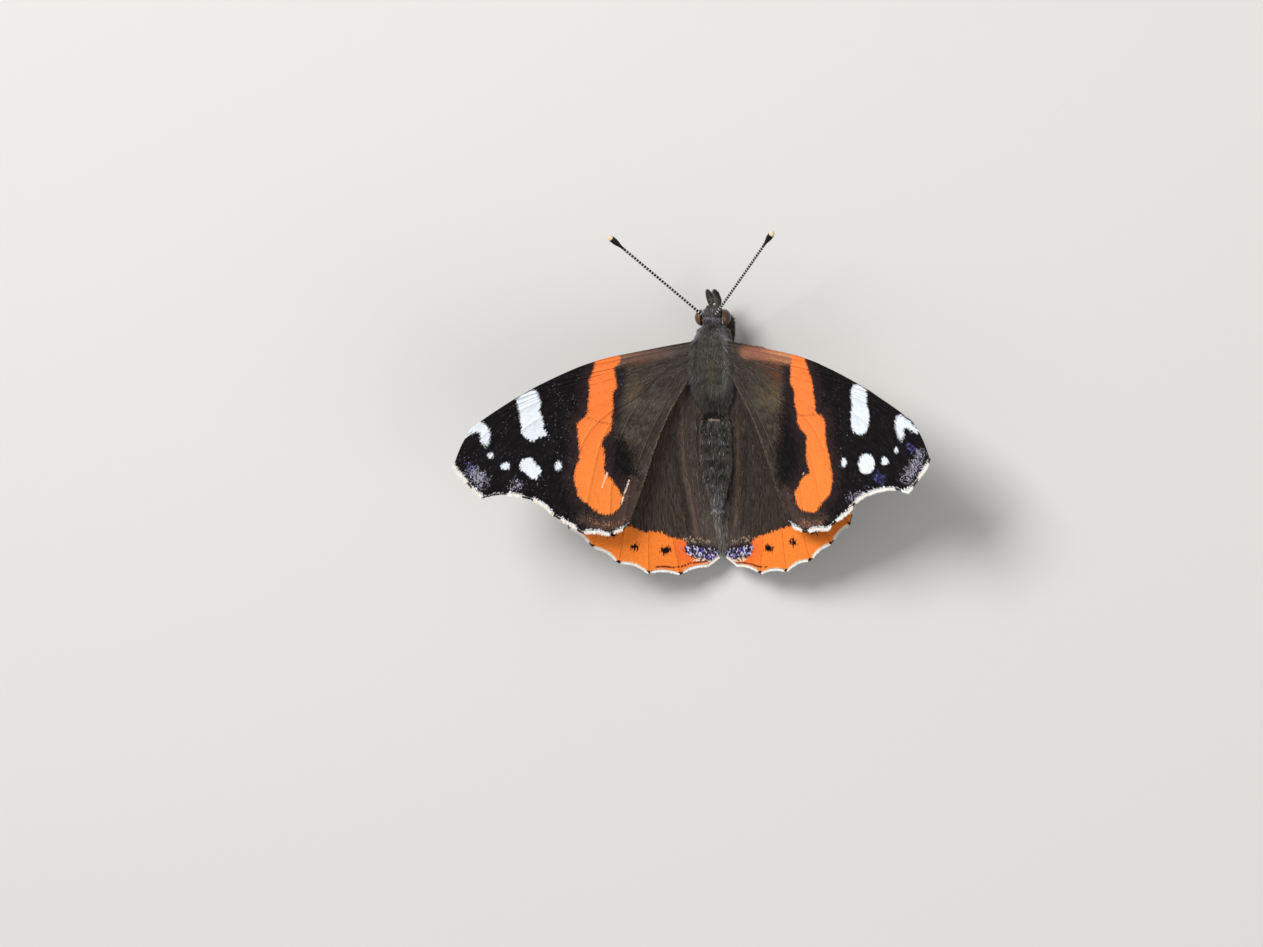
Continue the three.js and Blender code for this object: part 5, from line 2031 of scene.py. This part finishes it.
@dataclass
class BodyCoat:
    """Hair over one stretch of the body, lying along it."""

    skin: Skin
    name: str
    count: int
    rear: float
    front: float
    length: tuple[float, float]
    width: float
    stand: float
    seed: int
    angles: tuple[float, float] = (-90.0, 270.0)
    mirrored: bool = False
    back: float = 1.0
    rise: float = 0.06
    splay: float = 0.0
    pale_share: float = 0.0
    locks: Locks = Locks()

    WING_SLOPE = 0.42

    def build(self, finish: bpy.types.Material) -> bpy.types.Object:
        """Set the tufts of this stretch.

        Args:
            finish: Material of the hair.

        Returns:
            The finished coat piece.
        """
        random = np.random.default_rng(self.seed)
        y = random.uniform(self.rear, self.front, self.count)
        angle = np.radians(random.uniform(*self.angles, self.count))
        if self.mirrored:
            angle = np.where(random.random(self.count) < 0.5, angle, np.pi - angle)
        root = self.skin.at(y, angle)
        ahead = self.skin.at(y - 0.12, angle)
        turned = self.skin.at(y, angle + 0.02)
        along = unit(ahead - root)
        round_way = unit(turned - root)
        normal = unit(np.cross(round_way, -along))
        outward = root - np.stack([np.zeros(self.count), y, self.skin.section(y)[..., 0]], axis=-1)
        normal *= np.sign(np.sum(normal * outward, axis=1, keepdims=True))
        heart, chance = self.locks.sort(np.stack([y, angle * 1.8], axis=1), random)
        sway = random.normal(0, 0.16, (self.count, 1))
        out = np.stack([np.sign(root[:, 0]), np.zeros(self.count),
            np.full(self.count, self.WING_SLOPE)], axis=1)
        way = unit(along * self.back + round_way * sway + normal * self.rise + out * self.splay)
        fields = self.skin.fields(y, angle)
        length = random.uniform(*self.length, self.count) * (1 - 0.8 * fields.pop("clear"))
        way = unit(way * length[:, None] + (root[heart] - root) * self.locks.gather)
        pale = random.random(self.count) < self.pale_share
        fields["grey"] = np.where(random.random(self.count) < fields["grey"], 0.75, 0.1)
        fields["lilac"] = np.where(pale, 0.85, fields["lilac"])
        fields["dark"] = np.where(pale, 0.0, fields["dark"])
        fields["chance"] = chance
        tufts = Tufts(
            root=root,
            normal=normal,
            way=way,
            length=length,
            width=self.width * random.uniform(0.7, 1.2, self.count),
            stand=self.stand * random.uniform(0.5, 1.5, self.count),
            map_place=self.skin.unwrapped(y, angle),
            fields=fields,
        )
        return tufts.build(self.name, finish)


@dataclass
class WingHair:
    """Long hair over a wing's base and inner field, lying along its rays."""

    wing: Wing
    count: int
    rays: tuple[float, float]
    places: tuple[float, float]
    length: tuple[float, float]
    seed: int
    width: float = 0.05
    stand: float = 0.08
    grey: float = 0.15
    cream: float = 0.1
    frost: float = 0.0
    label: str = "hair"
    locks: Locks = Locks(8, 0.3, 0.4)
    bare: tuple[tuple[Marking, float], ...] = ((FOREWING_BAND, -99.0),)

    def build(self, finish: bpy.types.Material) -> bpy.types.Object:
        """Set the hair on the wing's upper face.

        Args:
            finish: Material of the hair.

        Returns:
            The finished coat piece.
        """
        random = np.random.default_rng(self.seed)
        rows, columns = self.wing.ray.shape
        low, high = self.rays
        ray = high - (high - low) * random.beta(1.0, 1.5, self.count)
        low, high = self.places
        place = (low + (high - low) * random.beta(1.0, 1.5, self.count)) * (rows - 1)
        row = np.clip(place.astype(int), 0, rows - 4)
        column = np.array([np.searchsorted(self.wing.ray[r], value) for r, value in zip(row, ray)])
        column = np.clip(column, 1, columns - 2)
        plane = self.wing.plane[row, column]
        bare = np.max([mark.depth(plane, self.wing.side) + gap for mark, gap in self.bare], axis=0)
        row, column, plane = row[bare < 0], column[bare < 0], plane[bare < 0]
        count = len(row)
        surface = self.wing.surface(Face.UPPER)
        root = surface[row, column]
        way = unit(surface[row + 3, column] - root)
        across = unit(surface[row, column + 1] - root)
        normal = unit(np.cross(way, across))
        normal *= np.sign(normal[:, 2:3])
        root = root + across * random.uniform(-0.13, 0.13, (count, 1))
        heart, chance = self.locks.sort(root[:, :2] * np.array([1.6, 0.5]), random)
        sway = random.normal(0, 0.08, (count, 1))
        length = random.uniform(*self.length, count)
        lean = (root[heart] - root) * self.locks.gather * 0.5
        way = unit((way + across * sway) * length[:, None] + lean
            - normal * np.sum(lean * normal, axis=1)[:, None])
        fold = valley = np.zeros(count)
        if self.wing.plan.name == "hindwing":
            fold, valley = self.wing.ridge_share(plane), self.wing.valley(plane)
        # Painted highlight: cream hair is more frequent on the hindwing's raised fold.
        pale = random.random(count) < self.cream + 0.7 * fold
        tufts = Tufts(
            root=root,
            normal=normal,
            way=way,
            length=length,
            width=self.width * random.uniform(0.6, 1.2, count),
            stand=self.stand * random.uniform(0.4, 1.4, count),
            map_place=np.clip((plane + np.array([4, 30])) / 36, 0.01, 0.99),
            fields={
                "grey": np.full(count, self.grey),
                "lilac": np.where(random.random(count) < self.frost, random.uniform(0.2, 0.9, count), 0.0),
                "cream": np.where(pale, 0.6, 0.0),
                # Painted shade: darker hair in the fold's valley, and on the right wings as a whole.
                "dark": np.clip(0.45 * valley + (0.3 if self.wing.side is Side.RIGHT else 0.0), 0, 1),
                "chance": chance,
            },
            sink=0.03,
        )
        return tufts.build(f"{self.wing.name}_{self.label}", finish)


def tube(
    path: np.ndarray,
    radii: np.ndarray,
    sides: int,
    side: Side = Side.RIGHT,
    floor: float | None = None,
) -> tuple[np.ndarray, np.ndarray]:
    """Wrap a round limb along a path, with both ends closed.

    Args:
        path: Points of the limb's centre line.
        radii: Radius at each point.
        sides: Points in each ring.
        side: The side of the insect; the left mirrors the path.
        floor: Lowest height that a point may have, or None.

    Returns:
        The limb's points and its triangles.
    """
    tangent = unit(np.gradient(path, axis=0))
    up = np.array([0.0, 0.0, 1.0]) if np.abs(tangent[:, 0]).max() > 0.02 else np.array([1.0, 0.0, 0.0])
    normal = unit(up - tangent * (tangent @ up)[:, None])
    binormal = np.cross(tangent, normal)
    angles = np.linspace(0, 2 * np.pi, sides, endpoint=False)
    ring = normal[:, None] * np.cos(angles)[None, :, None] + binormal[:, None] * np.sin(angles)[None, :,
        None]
    points = (path[:, None] + ring * radii[:, None, None]).reshape(-1, 3)
    points = np.vstack([points, path[0] - tangent[0] * radii[0] * 0.3,
        path[-1] + tangent[-1] * radii[-1] * 0.3])
    if floor is not None:
        points[:, 2] = np.maximum(points[:, 2], floor)
    points[:, 0] *= side.value
    grid = np.arange(len(path) * sides).reshape(len(path), sides)
    turned = np.roll(grid, -1, axis=1)
    first, last = len(path) * sides, len(path) * sides + 1
    faces = np.vstack([
        np.stack([grid[:-1], turned[:-1], turned[1:]], -1).reshape(-1, 3),
        np.stack([grid[:-1], turned[1:], grid[1:]], -1).reshape(-1, 3),
        np.stack([np.full(sides, first), turned[0], grid[0]], 1),
        np.stack([np.full(sides, last), grid[-1], turned[-1]], 1),
    ])
    return points, faces if side is Side.RIGHT else faces[:, ::-1]


@dataclass
class Antenna:
    """One feeler: a ringed shaft with a flat-tipped club."""

    side: Side
    root: tuple[float, float, float]
    tip: tuple[float, float, float]
    radius: float = 0.155
    club_radius: float = 0.36
    club_from: float = 0.85
    sag: float = 0.1
    joints: int = 37
    sides: int = 16

    def build(self, finish: bpy.types.Material) -> bpy.types.Object:
        """Build the feeler.

        Args:
            finish: Material of the feeler.

        Returns:
            The finished feeler.
        """
        steps = self.joints * 6
        t = np.linspace(0, 1, steps + 1)
        root, tip = np.array(self.root), np.array(self.tip)
        path = root + (tip - root) * t[:, None]
        path[:, 2] -= self.sag * np.sin(np.pi * t)
        phase = np.mod(t * self.joints, 1.0)
        swell = 1 + 0.07 * np.sin(np.pi * phase)
        club = smooth((t - self.club_from) / 0.09)
        dome = np.sqrt(np.clip(1 - ((t - 0.965) / 0.036).clip(0, 1) ** 2, 0.02, 1))
        radii = (self.radius + (self.club_radius - self.radius) * club) * swell * dome
        points, faces = tube(path, radii, self.sides, self.side)
        name = f"antenna_{self.side.suffix}"
        piece = mesh_object(name, points, faces, [finish])
        ring = np.where((phase < 0.32) & (t < self.club_from - 0.01), 1.0,
            0.0) * (1 - smooth((t - 0.83) / 0.02))
        end = smooth((t - 0.965) / 0.012)
        for label, values in (("ring", ring), ("end", end)):
            set_number(piece, label, np.append(np.repeat(values, self.sides), [values[0], values[-1]]))
        return settle(piece, [name])


@dataclass
class Eye:
    """One compound eye: a dome on the side of the head."""

    side: Side
    centre: tuple[float, float, float] = (1.42, 3.05, -2.05)
    radius: float = 1.0
    bulge: float = 0.8
    rings: int = 28
    sides: int = 48

    def build(self, finish: bpy.types.Material) -> bpy.types.Object:
        """Build the eye.

        Args:
            finish: Material of the eye.

        Returns:
            The finished eye.
        """
        lifts = np.linspace(0, np.pi / 2, self.rings, endpoint=False)
        turns = np.linspace(0, 2 * np.pi, self.sides, endpoint=False)
        lift, turn = np.meshgrid(lifts, turns, indexing="ij")
        round_off = self.radius * np.cos(lift)
        points = np.stack([
            self.centre[0] + self.bulge * np.sin(lift),
            self.centre[1] + round_off * np.cos(turn),
            self.centre[2] + round_off * np.sin(turn),
        ], axis=-1).reshape(-1, 3)
        centre = np.array(self.centre)
        points = np.vstack([points, centre - (0.1, 0, 0), centre + (self.bulge, 0, 0)])
        points[:, 0] *= self.side.value
        grid = np.arange(self.rings * self.sides).reshape(self.rings, self.sides)
        turned = np.roll(grid, -1, axis=1)
        back, pole = self.rings * self.sides, self.rings * self.sides + 1
        faces = np.vstack([
            np.stack([grid[:-1], turned[:-1], turned[1:]], -1).reshape(-1, 3),
            np.stack([grid[:-1], turned[1:], grid[1:]], -1).reshape(-1, 3),
            np.stack([np.full(self.sides, back), turned[0], grid[0]], 1),
            np.stack([np.full(self.sides, pole), grid[-1], turned[-1]], 1),
        ])
        if self.side is Side.LEFT:
            faces = faces[:, ::-1]
        name = f"eye_{self.side.suffix}"
        piece = mesh_object(name, points, faces, [finish])
        rim = np.append(np.cos(lift).ravel(), [1.0, 0.0])
        set_number(piece, "rim", rim)
        return settle(piece, [name])


@dataclass
class Limb:
    """One leg, palp or tongue along a path of the solids."""

    name: str
    side: Side
    path: tuple[tuple[float, float, float], ...]
    radii: tuple[float, ...]
    slot: str
    joints: tuple[float, ...] = ()
    slimness: float = 0.85
    steps: int = 120
    sides: int = 16
    floor: float | None = -8.0

    def line(self, t: np.ndarray) -> tuple[np.ndarray, np.ndarray]:
        """Centre line and radii at places from 0 to 1."""
        radii = np.interp(t, np.linspace(0, 1, len(self.radii)), self.radii) * self.slimness
        return spline(np.array(self.path), t), radii

    def build(self, finish: bpy.types.Material) -> bpy.types.Object:
        """Build the limb.

        Args:
            finish: Material of the limb.

        Returns:
            The finished limb.
        """
        t = np.linspace(0, 1, self.steps)
        path, radii = self.line(t)
        joint = np.zeros(self.steps)
        for place in self.joints:
            near = np.exp(-(((t - place) / 0.012) ** 2))
            radii *= 1 - 0.22 * near
            joint = np.maximum(joint, near)
        points, faces = tube(path, radii, self.sides, self.side, self.floor)
        piece = mesh_object(self.name, points, faces, [finish])
        set_number(piece, "joint", np.append(np.repeat(joint, self.sides), [joint[0], joint[-1]]))
        return settle(piece, [self.name])


@dataclass
class LimbCoat:
    """Hair over a palp or a leg, lying toward its tip."""

    limb: Limb
    count: int
    length: tuple[float, float]
    seed: int
    reach: tuple[float, float] = (0.03, 0.96)
    width: float = 0.09
    stand: float = 0.35
    splay: float = 0.35
    close: float = 0.0

    def build(self, finish: bpy.types.Material) -> bpy.types.Object:
        """Set the hair on the limb.

        Args:
            finish: Material of the hair.

        Returns:
            The finished coat piece.
        """
        random = np.random.default_rng(self.seed)
        t = random.uniform(*self.reach, self.count)
        turn = random.uniform(0, 2 * np.pi, self.count)
        path, radii = self.limb.line(t)
        tangent = unit(self.limb.line(np.minimum(t + 0.02, 1))[0]
            - self.limb.line(np.maximum(t - 0.02, 0))[0])
        side_way = unit(np.cross(tangent, np.array([0.0, 0.3, 1.0])))
        over = np.cross(side_way, tangent)
        normal = side_way * np.cos(turn)[:, None] + over * np.sin(turn)[:, None]
        root = path + normal * radii[:, None]
        inner = smooth(-normal[:, 0] * 1.4)
        base = (1 - t) ** 2
        lean = self.splay + 2 * self.close * inner * base
        way = unit(tangent + normal * lean[:, None] + side_way * random.normal(0, 0.15, (self.count, 1))
                   - np.outer(0.1 + base, (self.close, 0, 0)))
        mirror = np.array([self.limb.side.value, 1, 1])
        tufts = Tufts(
            root=root * mirror,
            normal=normal * mirror,
            way=way * mirror,
            length=random.uniform(*self.length, self.count) * (1 + 4 * self.close * inner * base),
            width=self.width * random.uniform(0.7, 1.2, self.count),
            stand=self.stand * random.uniform(0.5, 1.4, self.count),
            map_place=np.stack([0.02 + 0.96 * turn / (2 * np.pi), 0.02 + 0.96 * t], axis=-1),
            fields={
                "grey": 0.15 + 0.3 * inner,
                "lilac": np.where(random.random(self.count) < 0.12 * inner, 0.7, 0.0),
                "cream": np.where(random.random(self.count) < 0.08 + 0.3 * inner, 0.75, 0.0),
                "dark": 0.6 * smooth(normal[:, 0] * 1.6),
                "chance": random.random(self.count),
            },
            sink=0.04,
        )
        return tufts.build(f"{self.limb.name}_hair", finish)


FOOT_LEVEL = -8.0 + 0.27 * 0.66
FORELEG_PATH = ((0.85, 0.7, -4.65), (1.05, 1.7, -4.95), (1.25, 2.85, -5.3), (1.35, 2.2, -5.9),
    (1.3, 0.9, -6.05),
                (1.2, -0.2, -6.0))
MIDLEG_PATH = ((1.25, -1.3, -4.75), (1.9, -1.2, -5.15), (3.4, -0.9, -4.9), (5.1, -0.75, -4.55),
    (5.8, -1.1, -5.1),
               (7.0, -2.3, -6.9), (7.45, -2.9, -7.6), (7.9, -3.6, FOOT_LEVEL), (8.4, -4.6, FOOT_LEVEL),
               (8.8, -5.6, FOOT_LEVEL), (9.1, -6.4, FOOT_LEVEL))
HINDLEG_PATH = ((1.2, -3.7, -4.75), (1.7, -4.3, -5.15), (2.5, -6.1, -4.9), (3.4, -8.4, -4.6),
    (3.9, -9.3, -5.1),
                (5.2, -12.0, -6.95), (5.7, -13.0, -7.6), (6.0, -13.8, FOOT_LEVEL), (6.4, -14.9, FOOT_LEVEL),
                (6.75, -16.0, FOOT_LEVEL), (7.0, -17.0, FOOT_LEVEL))
LEG_RADII = (0.4, 0.42, 0.4, 0.33, 0.27, 0.26, 0.26, 0.27, 0.27, 0.27, 0.25)
FORELEG_RADII = (0.36, 0.38, 0.34, 0.32, 0.28, 0.18)
PALP_PATH = ((0.5, 4.55, -3.05), (0.54, 5.0, -2.9), (0.52, 5.6, -2.35), (0.46, 6.0, -1.75),
    (0.4, 6.2, -1.35))
PALP_RADII = (0.3, 0.36, 0.33, 0.24, 0.1)


def tongue_path() -> tuple[tuple[float, float, float], ...]:
    """Path of the coiled tongue under the head."""
    path = []
    for step in range(29):
        t = step / 28
        angle = math.radians(95 - 360 * 1.25 * t)
        reach = 1.1 + (0.3 - 1.1) * t
        path.append((0.0, 4.1 + reach * math.cos(angle), -4.95 + reach * math.sin(angle)))
    return tuple(path)


@dataclass
class Studio:
    """Pale floor, soft light and the camera of the photograph's view."""

    floor_half: float = 1.2
    sensor_width: float = 36.0

    def camera(self) -> None:
        """Create the camera where the photograph was taken from."""
        right, up, back = VIEW.axes()
        aim_right = (VIEW.centre[0] - VIEW.width / 2) / VIEW.scale
        aim_down = (VIEW.height / 2 - VIEW.centre[1]) / VIEW.scale
        place = -aim_right * right - aim_down * up + VIEW.reach * back
        data = bpy.data.cameras.new("camera")
        data.sensor_width = self.sensor_width
        data.lens = self.sensor_width * VIEW.reach * VIEW.scale / VIEW.width
        data.clip_start, data.clip_end = 0.05, 20.0
        camera = bpy.data.objects.new("camera", data)
        turn = Matrix((Vector(right), Vector(up), Vector(back))).transposed()
        camera.matrix_world = Matrix.Translation(Vector(BUILD.metres(place))) @ turn.to_4x4()
        bpy.context.scene.collection.objects.link(camera)
        bpy.context.scene.camera = camera

    def light(self, name: str, place: tuple[float, float, float], size: float, power: float) -> None:
        """Hang one soft lamp that points at the model.

        Args:
            name: Name of the lamp.
            place: Place of the lamp in metres.
            size: Width of the lamp in metres.
            power: Power of the lamp in watts.
        """
        data = bpy.data.lights.new(name, "AREA")
        data.energy = power
        data.size = size
        lamp = bpy.data.objects.new(name, data)
        lamp.location = place
        lamp.rotation_euler = (-Vector(place)).to_track_quat("-Z", "Y").to_euler()
        bpy.context.scene.collection.objects.link(lamp)

    def floor(self) -> None:
        """Lay the pale floor."""
        half = self.floor_half
        mesh = bpy.data.meshes.new("floor")
        mesh.from_pydata([(-half, -half, 0), (half, -half, 0), (half, half, 0), (-half, half, 0)], [],
            [(0, 1, 2, 3)])
        pen = NodePen("pale_floor", roughness=0.85, specular=0.2)
        mesh.materials.append(pen.done(srgb(200, 198, 194)))
        piece = bpy.data.objects.new("floor", mesh)
        bpy.context.scene.collection.objects.link(piece)

    def build(self) -> None:
        """Set up floor, lamps, sky and camera."""
        self.camera()
        self.floor()
        self.light("key_lamp", (-0.22, 0.3, 0.55), 0.3, 4.6)
        self.light("fill_lamp", (0.45, -0.3, 0.4), 0.5, 1.4)
        world = bpy.data.worlds.new("studio")
        world.use_nodes = True
        sky = next(n for n in world.node_tree.nodes if n.type == "BACKGROUND")
        sky.inputs["Color"].default_value = (0.93, 0.96, 1.0, 1.0)
        sky.inputs["Strength"].default_value = 0.42
        bpy.context.scene.world = world
        bpy.context.scene.view_settings.view_transform = "Standard"


FOREWING_PALE = {
    Side.RIGHT: ((26.3, 28.0), (23.9, 25.5), (17.2, 23.0), (14.2, 16.8), (9.9, 13.4), (7.3, 8.9)),
    Side.LEFT: ((26.6, 28.7), (24.8, 26.1), (20.0, 21.8), (16.3, 18.7), (13.4, 15.4), (9.35, 12.4),
        (7.7, 8.9)),
}
HINDWING_PALE = ((15.3, 16.4), (12.42, 14.8), (9.2, 11.95), (5.4, 8.72), (1.55, 4.95), (-3.8, 1.05))


def build_wings() -> list[Wing]:
    """Build the four wings with fringes; returns their plans for the hair."""
    fore_upper = {
        Side.RIGHT: ForewingUpperFinish(
            "forewing_upper_right", olive=srgb(76, 70, 60), brown=srgb(50, 42, 38)).make(),
        Side.LEFT: ForewingUpperFinish(
            "forewing_upper_left", streak=srgb(112, 88, 80), bright_streak=srgb(206, 150, 108),
            speckle=0.22).make(),
    }
    fore_under = ForewingUnderFinish().make()
    hind_upper = HindwingUpperFinish().make()
    hind_under = HindwingUnderFinish().make()
    fringe = FringeFinish().make()
    wings = []
    for side in Side:
        fore = Wing(FOREWING_PLAN, side, (
            FOREWING_BAND, FOREWING_STREAK, FOREWING_WHITE, FOREWING_LILAC, FOREWING_RIM, FOREWING_FLECKS,
            FOREWING_OLIVE, FOREWING_RED, FOREWING_SHEEN, FOREWING_BLUE, FOREWING_APEX, FOREWING_DUST,
            FOREWING_DUSK,
            STEP_LINE, HAIRLINE, UNDER_BAND, UNDER_BLUE, UNDER_TIP), FOREWING_PALE[side])
        fore.build(fore_upper[side], fore_under)
        hind = Wing(HINDWING_PLAN, side, (
            HINDWING_BAND, HINDWING_BLACK, HINDWING_BLUE, HINDWING_LINE, HINDWING_PINK, HINDWING_BEIGE,
            UNDER_RING, UNDER_EYE), HINDWING_PALE)
        hind.build(hind_upper, hind_under)
        for wing in (fore, hind):
            Fringe(wing, length=wing.plan.fringe * 1.05).build(fringe)
            wings.append(wing)
    return wings


UNDER_BAND_FIELD: Points = (
    (10.0, -2.6), (12.6, -3.2), (13.2, -6.0), (12.9, -9.0), (13.8, -12.0), (14.2, -16.0), (13.0, -19.0),
    (9.6, -20.6),
    (8.0, -18.5), (9.6, -16.0), (10.2, -12.0), (9.0, -8.5), (8.8, -5.0))
UNDER_BASE_FIELD: Points = ((1.0, -2.0), (5.2, -3.0), (5.4, -4.4), (3.4, -4.6), (1.0, -3.4))
UNDER_BAND = Marking("under_orange", (UNDER_BAND_FIELD, UNDER_BASE_FIELD),
    (UNDER_BAND_FIELD, UNDER_BASE_FIELD))
UNDER_BLUE_FIELDS = (
    ((6.6, -3.4), (7.4, -3.6), (7.6, -6.6), (6.9, -6.9)),
    ((13.6, -4.6), (15.8, -5.4), (15.6, -7.0), (13.4, -6.2)),
    ((15.0, -12.2), (16.0, -12.9), (15.6, -13.9), (14.7, -13.3)),
)
UNDER_BLUE = Marking("under_blue", UNDER_BLUE_FIELDS, UNDER_BLUE_FIELDS)
TIP_FIELD: Points = ((22.0, -6.5), (29.5, -11.0), (29.5, -17.0), (25.0, -19.5), (21.5, -19.0),
    (21.0, -12.0))
UNDER_TIP = Marking("tip", (TIP_FIELD,), (TIP_FIELD,))
UNDER_SPOTS = (spot(4.0, -23.6, 0.8, 0.75), spot(7.3, -22.6, 0.8, 0.75), spot(10.4, -20.4, 0.8, 0.75),
               spot(12.9, -17.6, 0.75, 0.7))
UNDER_RING = Marking("ring", UNDER_SPOTS, UNDER_SPOTS)
UNDER_PUPILS = (spot(4.0, -23.6, 0.36, 0.34), spot(7.3, -22.6, 0.36, 0.34), spot(10.4, -20.4, 0.36, 0.34),
                spot(12.9, -17.6, 0.34, 0.32))
UNDER_EYE = Marking("eye", UNDER_PUPILS, UNDER_PUPILS)


def build_body(coat: bpy.types.Material) -> None:
    """Build the skin with its coat.

    Args:
        coat: Finish of the hair.
    """
    skin = Skin()
    skin.build(SkinFinish().make())
    even = Locks(8, 0.3, 0.35)
    stretches = (
        BodyCoat(skin, "coat_thorax_front", 7600, -1.4, 1.9, (0.6, 1.1), 0.09, 0.24, 11, locks=even),
        BodyCoat(skin, "coat_thorax_rear", 9200, -6.4, -1.2, (0.7, 1.3), 0.09, 0.22, 21, locks=even),
        BodyCoat(skin, "coat_flank", 6400, -6.4, 0.9, (1.0, 2.0), 0.08, 0.12, 51, angles=(6.0, 52.0),
            mirrored=True,
                 back=0.9, splay=0.6, pale_share=0.04, locks=even),
        BodyCoat(skin, "coat_waist", 3100, -6.9, -4.6, (1.3, 2.4), 0.09, 0.14, 61,
            angles=(-20.0, 200.0), rise=0.36,
                 splay=0.12, locks=even),
        BodyCoat(skin, "coat_abdomen", 9800, -20.0, -6.6, (0.5, 1.0), 0.12, 0.3, 31, rise=0.12,
            pale_share=0.03),
        BodyCoat(skin, "coat_tail", 900, -20.0, -18.6, (0.7, 1.3), 0.1, 0.2, 35, rise=0.2, pale_share=0.2),
        BodyCoat(skin, "coat_collar", 3700, 0.9, 2.2, (0.45, 0.85), 0.09, 0.25, 71, rise=0.35,
            pale_share=0.05,
                 locks=even),
        BodyCoat(skin, "coat_neck", 2200, 1.5, 2.6, (0.5, 0.9), 0.08, 0.3, 75, angles=(-40.0, 70.0),
            mirrored=True,
                 back=0.7, splay=0.55, pale_share=0.06, locks=even),
        BodyCoat(skin, "coat_head", 5400, 1.8, 3.2, (0.3, 0.62), 0.08, 0.4, 41, angles=(10.0, 170.0),
            back=0.6,
                 rise=0.4, pale_share=0.12),
        BodyCoat(skin, "coat_face", 4700, 2.9, 4.05, (0.4, 0.8), 0.08, 0.3, 45, back=-1.0, rise=0.25,
                 pale_share=0.05),
    )
    for stretch in stretches:
        stretch.build(coat)


def build_wing_hair(wings: list[Wing]) -> None:
    """Set the hair on the wing bases and inner fields."""
    fore = CoatFinish("forewing_hair", srgb(88, 79, 70), srgb(53, 46, 41), srgb(98, 94, 92),
        cream=srgb(156, 138, 122))
    hind = CoatFinish("hindwing_hair", srgb(104, 90, 80), srgb(56, 49, 44), srgb(98, 94, 92),
        srgb(190, 188, 184),
                      srgb(132, 110, 97))
    fore_finish, hind_finish = fore.make(), hind.make()
    below, above = ((HINDWING_BAND, 0.7),), ((FOREWING_BAND, 1.1), (FOREWING_STREAK, 0.1),
        (FOREWING_RED, -0.5))
    for number, wing in enumerate(wings):
        if wing.plan.name == "hindwing":
            WingHair(wing, 5000, (3.5, 9.1), (0.0, 0.75), (0.7, 1.8), 100 + number,
                bare=below).build(hind_finish)
            WingHair(wing, 3700, (7.4, 9.13), (0.3, 0.97), (0.5, 1.3), 120 + number, cream=0.16, frost=0.06,
                     label="inner").build(hind_finish)
            WingHair(wing, 1100, (8.8, 9.13), (0.72, 0.99), (0.6, 1.3), 180 + number, width=0.06,
                stand=0.14,
                     frost=0.55, label="rear").build(hind_finish)
        else:
            WingHair(wing, 3900, (4.5, 12.99), (0.0, 0.34), (0.5, 1.2), 140 + number,
                bare=above).build(fore_finish)
            share = 0.75 if wing.side is Side.RIGHT else 0.35
            WingHair(wing, 700, (12.75, 13.0), (0.1, 0.95), (0.25, 0.5), 160 + number, width=0.07,
                stand=0.3,
                     cream=share, label="edge").build(fore_finish)


def build_head(coat: bpy.types.Material) -> None:
    """Build eyes, feelers, palps and tongue.

    Args:
        coat: Finish of the hair on the palps.
    """
    eye = EyeFinish().make()
    feeler = AntennaFinish().make()
    horn = LimbFinish("tongue_horn").make()
    palp = LimbFinish("palp_scales", srgb(96, 90, 80), srgb(50, 45, 42)).make()
    for side in Side:
        Eye(side).build(eye)
        root = (0.8, 3.5, -0.62) if side is Side.RIGHT else (1.15, 3.5, -0.72)
        tip = (10.27, 13.1, 8.05) if side is Side.RIGHT else (10.27, 12.95, 8.05)
        Antenna(side, root, tip).build(feeler)
        limb = Limb(f"palp_{side.suffix}", side, PALP_PATH, PALP_RADII, "body_hair", floor=None,
            slimness=0.85)
        limb.build(palp)
        LimbCoat(limb, 2200, (0.25, 0.5), 81, width=0.07, stand=0.16, splay=0.12, close=0.28).build(coat)
    Limb("proboscis", Side.RIGHT, tongue_path(), (0.24, 0.2, 0.16), "antenna", floor=None).build(horn)


def build_legs(coat: bpy.types.Material) -> None:
    """Build the six legs.

    Args:
        coat: Finish of the hair on the small front legs.
    """
    horn = LimbFinish("leg_scales").make()
    brush = LimbFinish("foreleg_scales", srgb(84, 76, 68), srgb(46, 42, 40)).make()
    joints = (0.12, 0.3, 0.62, 0.72, 0.8, 0.87, 0.94)
    for side in Side:
        front = Limb(f"foreleg_{side.suffix}", side, FORELEG_PATH, FORELEG_RADII, "body_hair")
        front.build(brush)
        LimbCoat(front, 1300, (0.3, 0.7), 91, width=0.07, stand=0.2, splay=0.3).build(coat)
        Limb(f"midleg_{side.suffix}", side, MIDLEG_PATH, LEG_RADII, "leg", joints).build(horn)
        Limb(f"hindleg_{side.suffix}", side, HINDLEG_PATH, LEG_RADII, "leg", joints).build(horn)


def main() -> None:
    """Build the butterfly and its studio, piece by piece."""
    logging.basicConfig(level=logging.INFO, format="%(name)s: %(message)s")
    wings = build_wings()
    coat = CoatFinish("body_coat").make()
    build_body(coat)
    build_wing_hair(wings)
    build_head(coat)
    build_legs(coat)
    Studio().build()


if __name__ == "__main__":
    main()
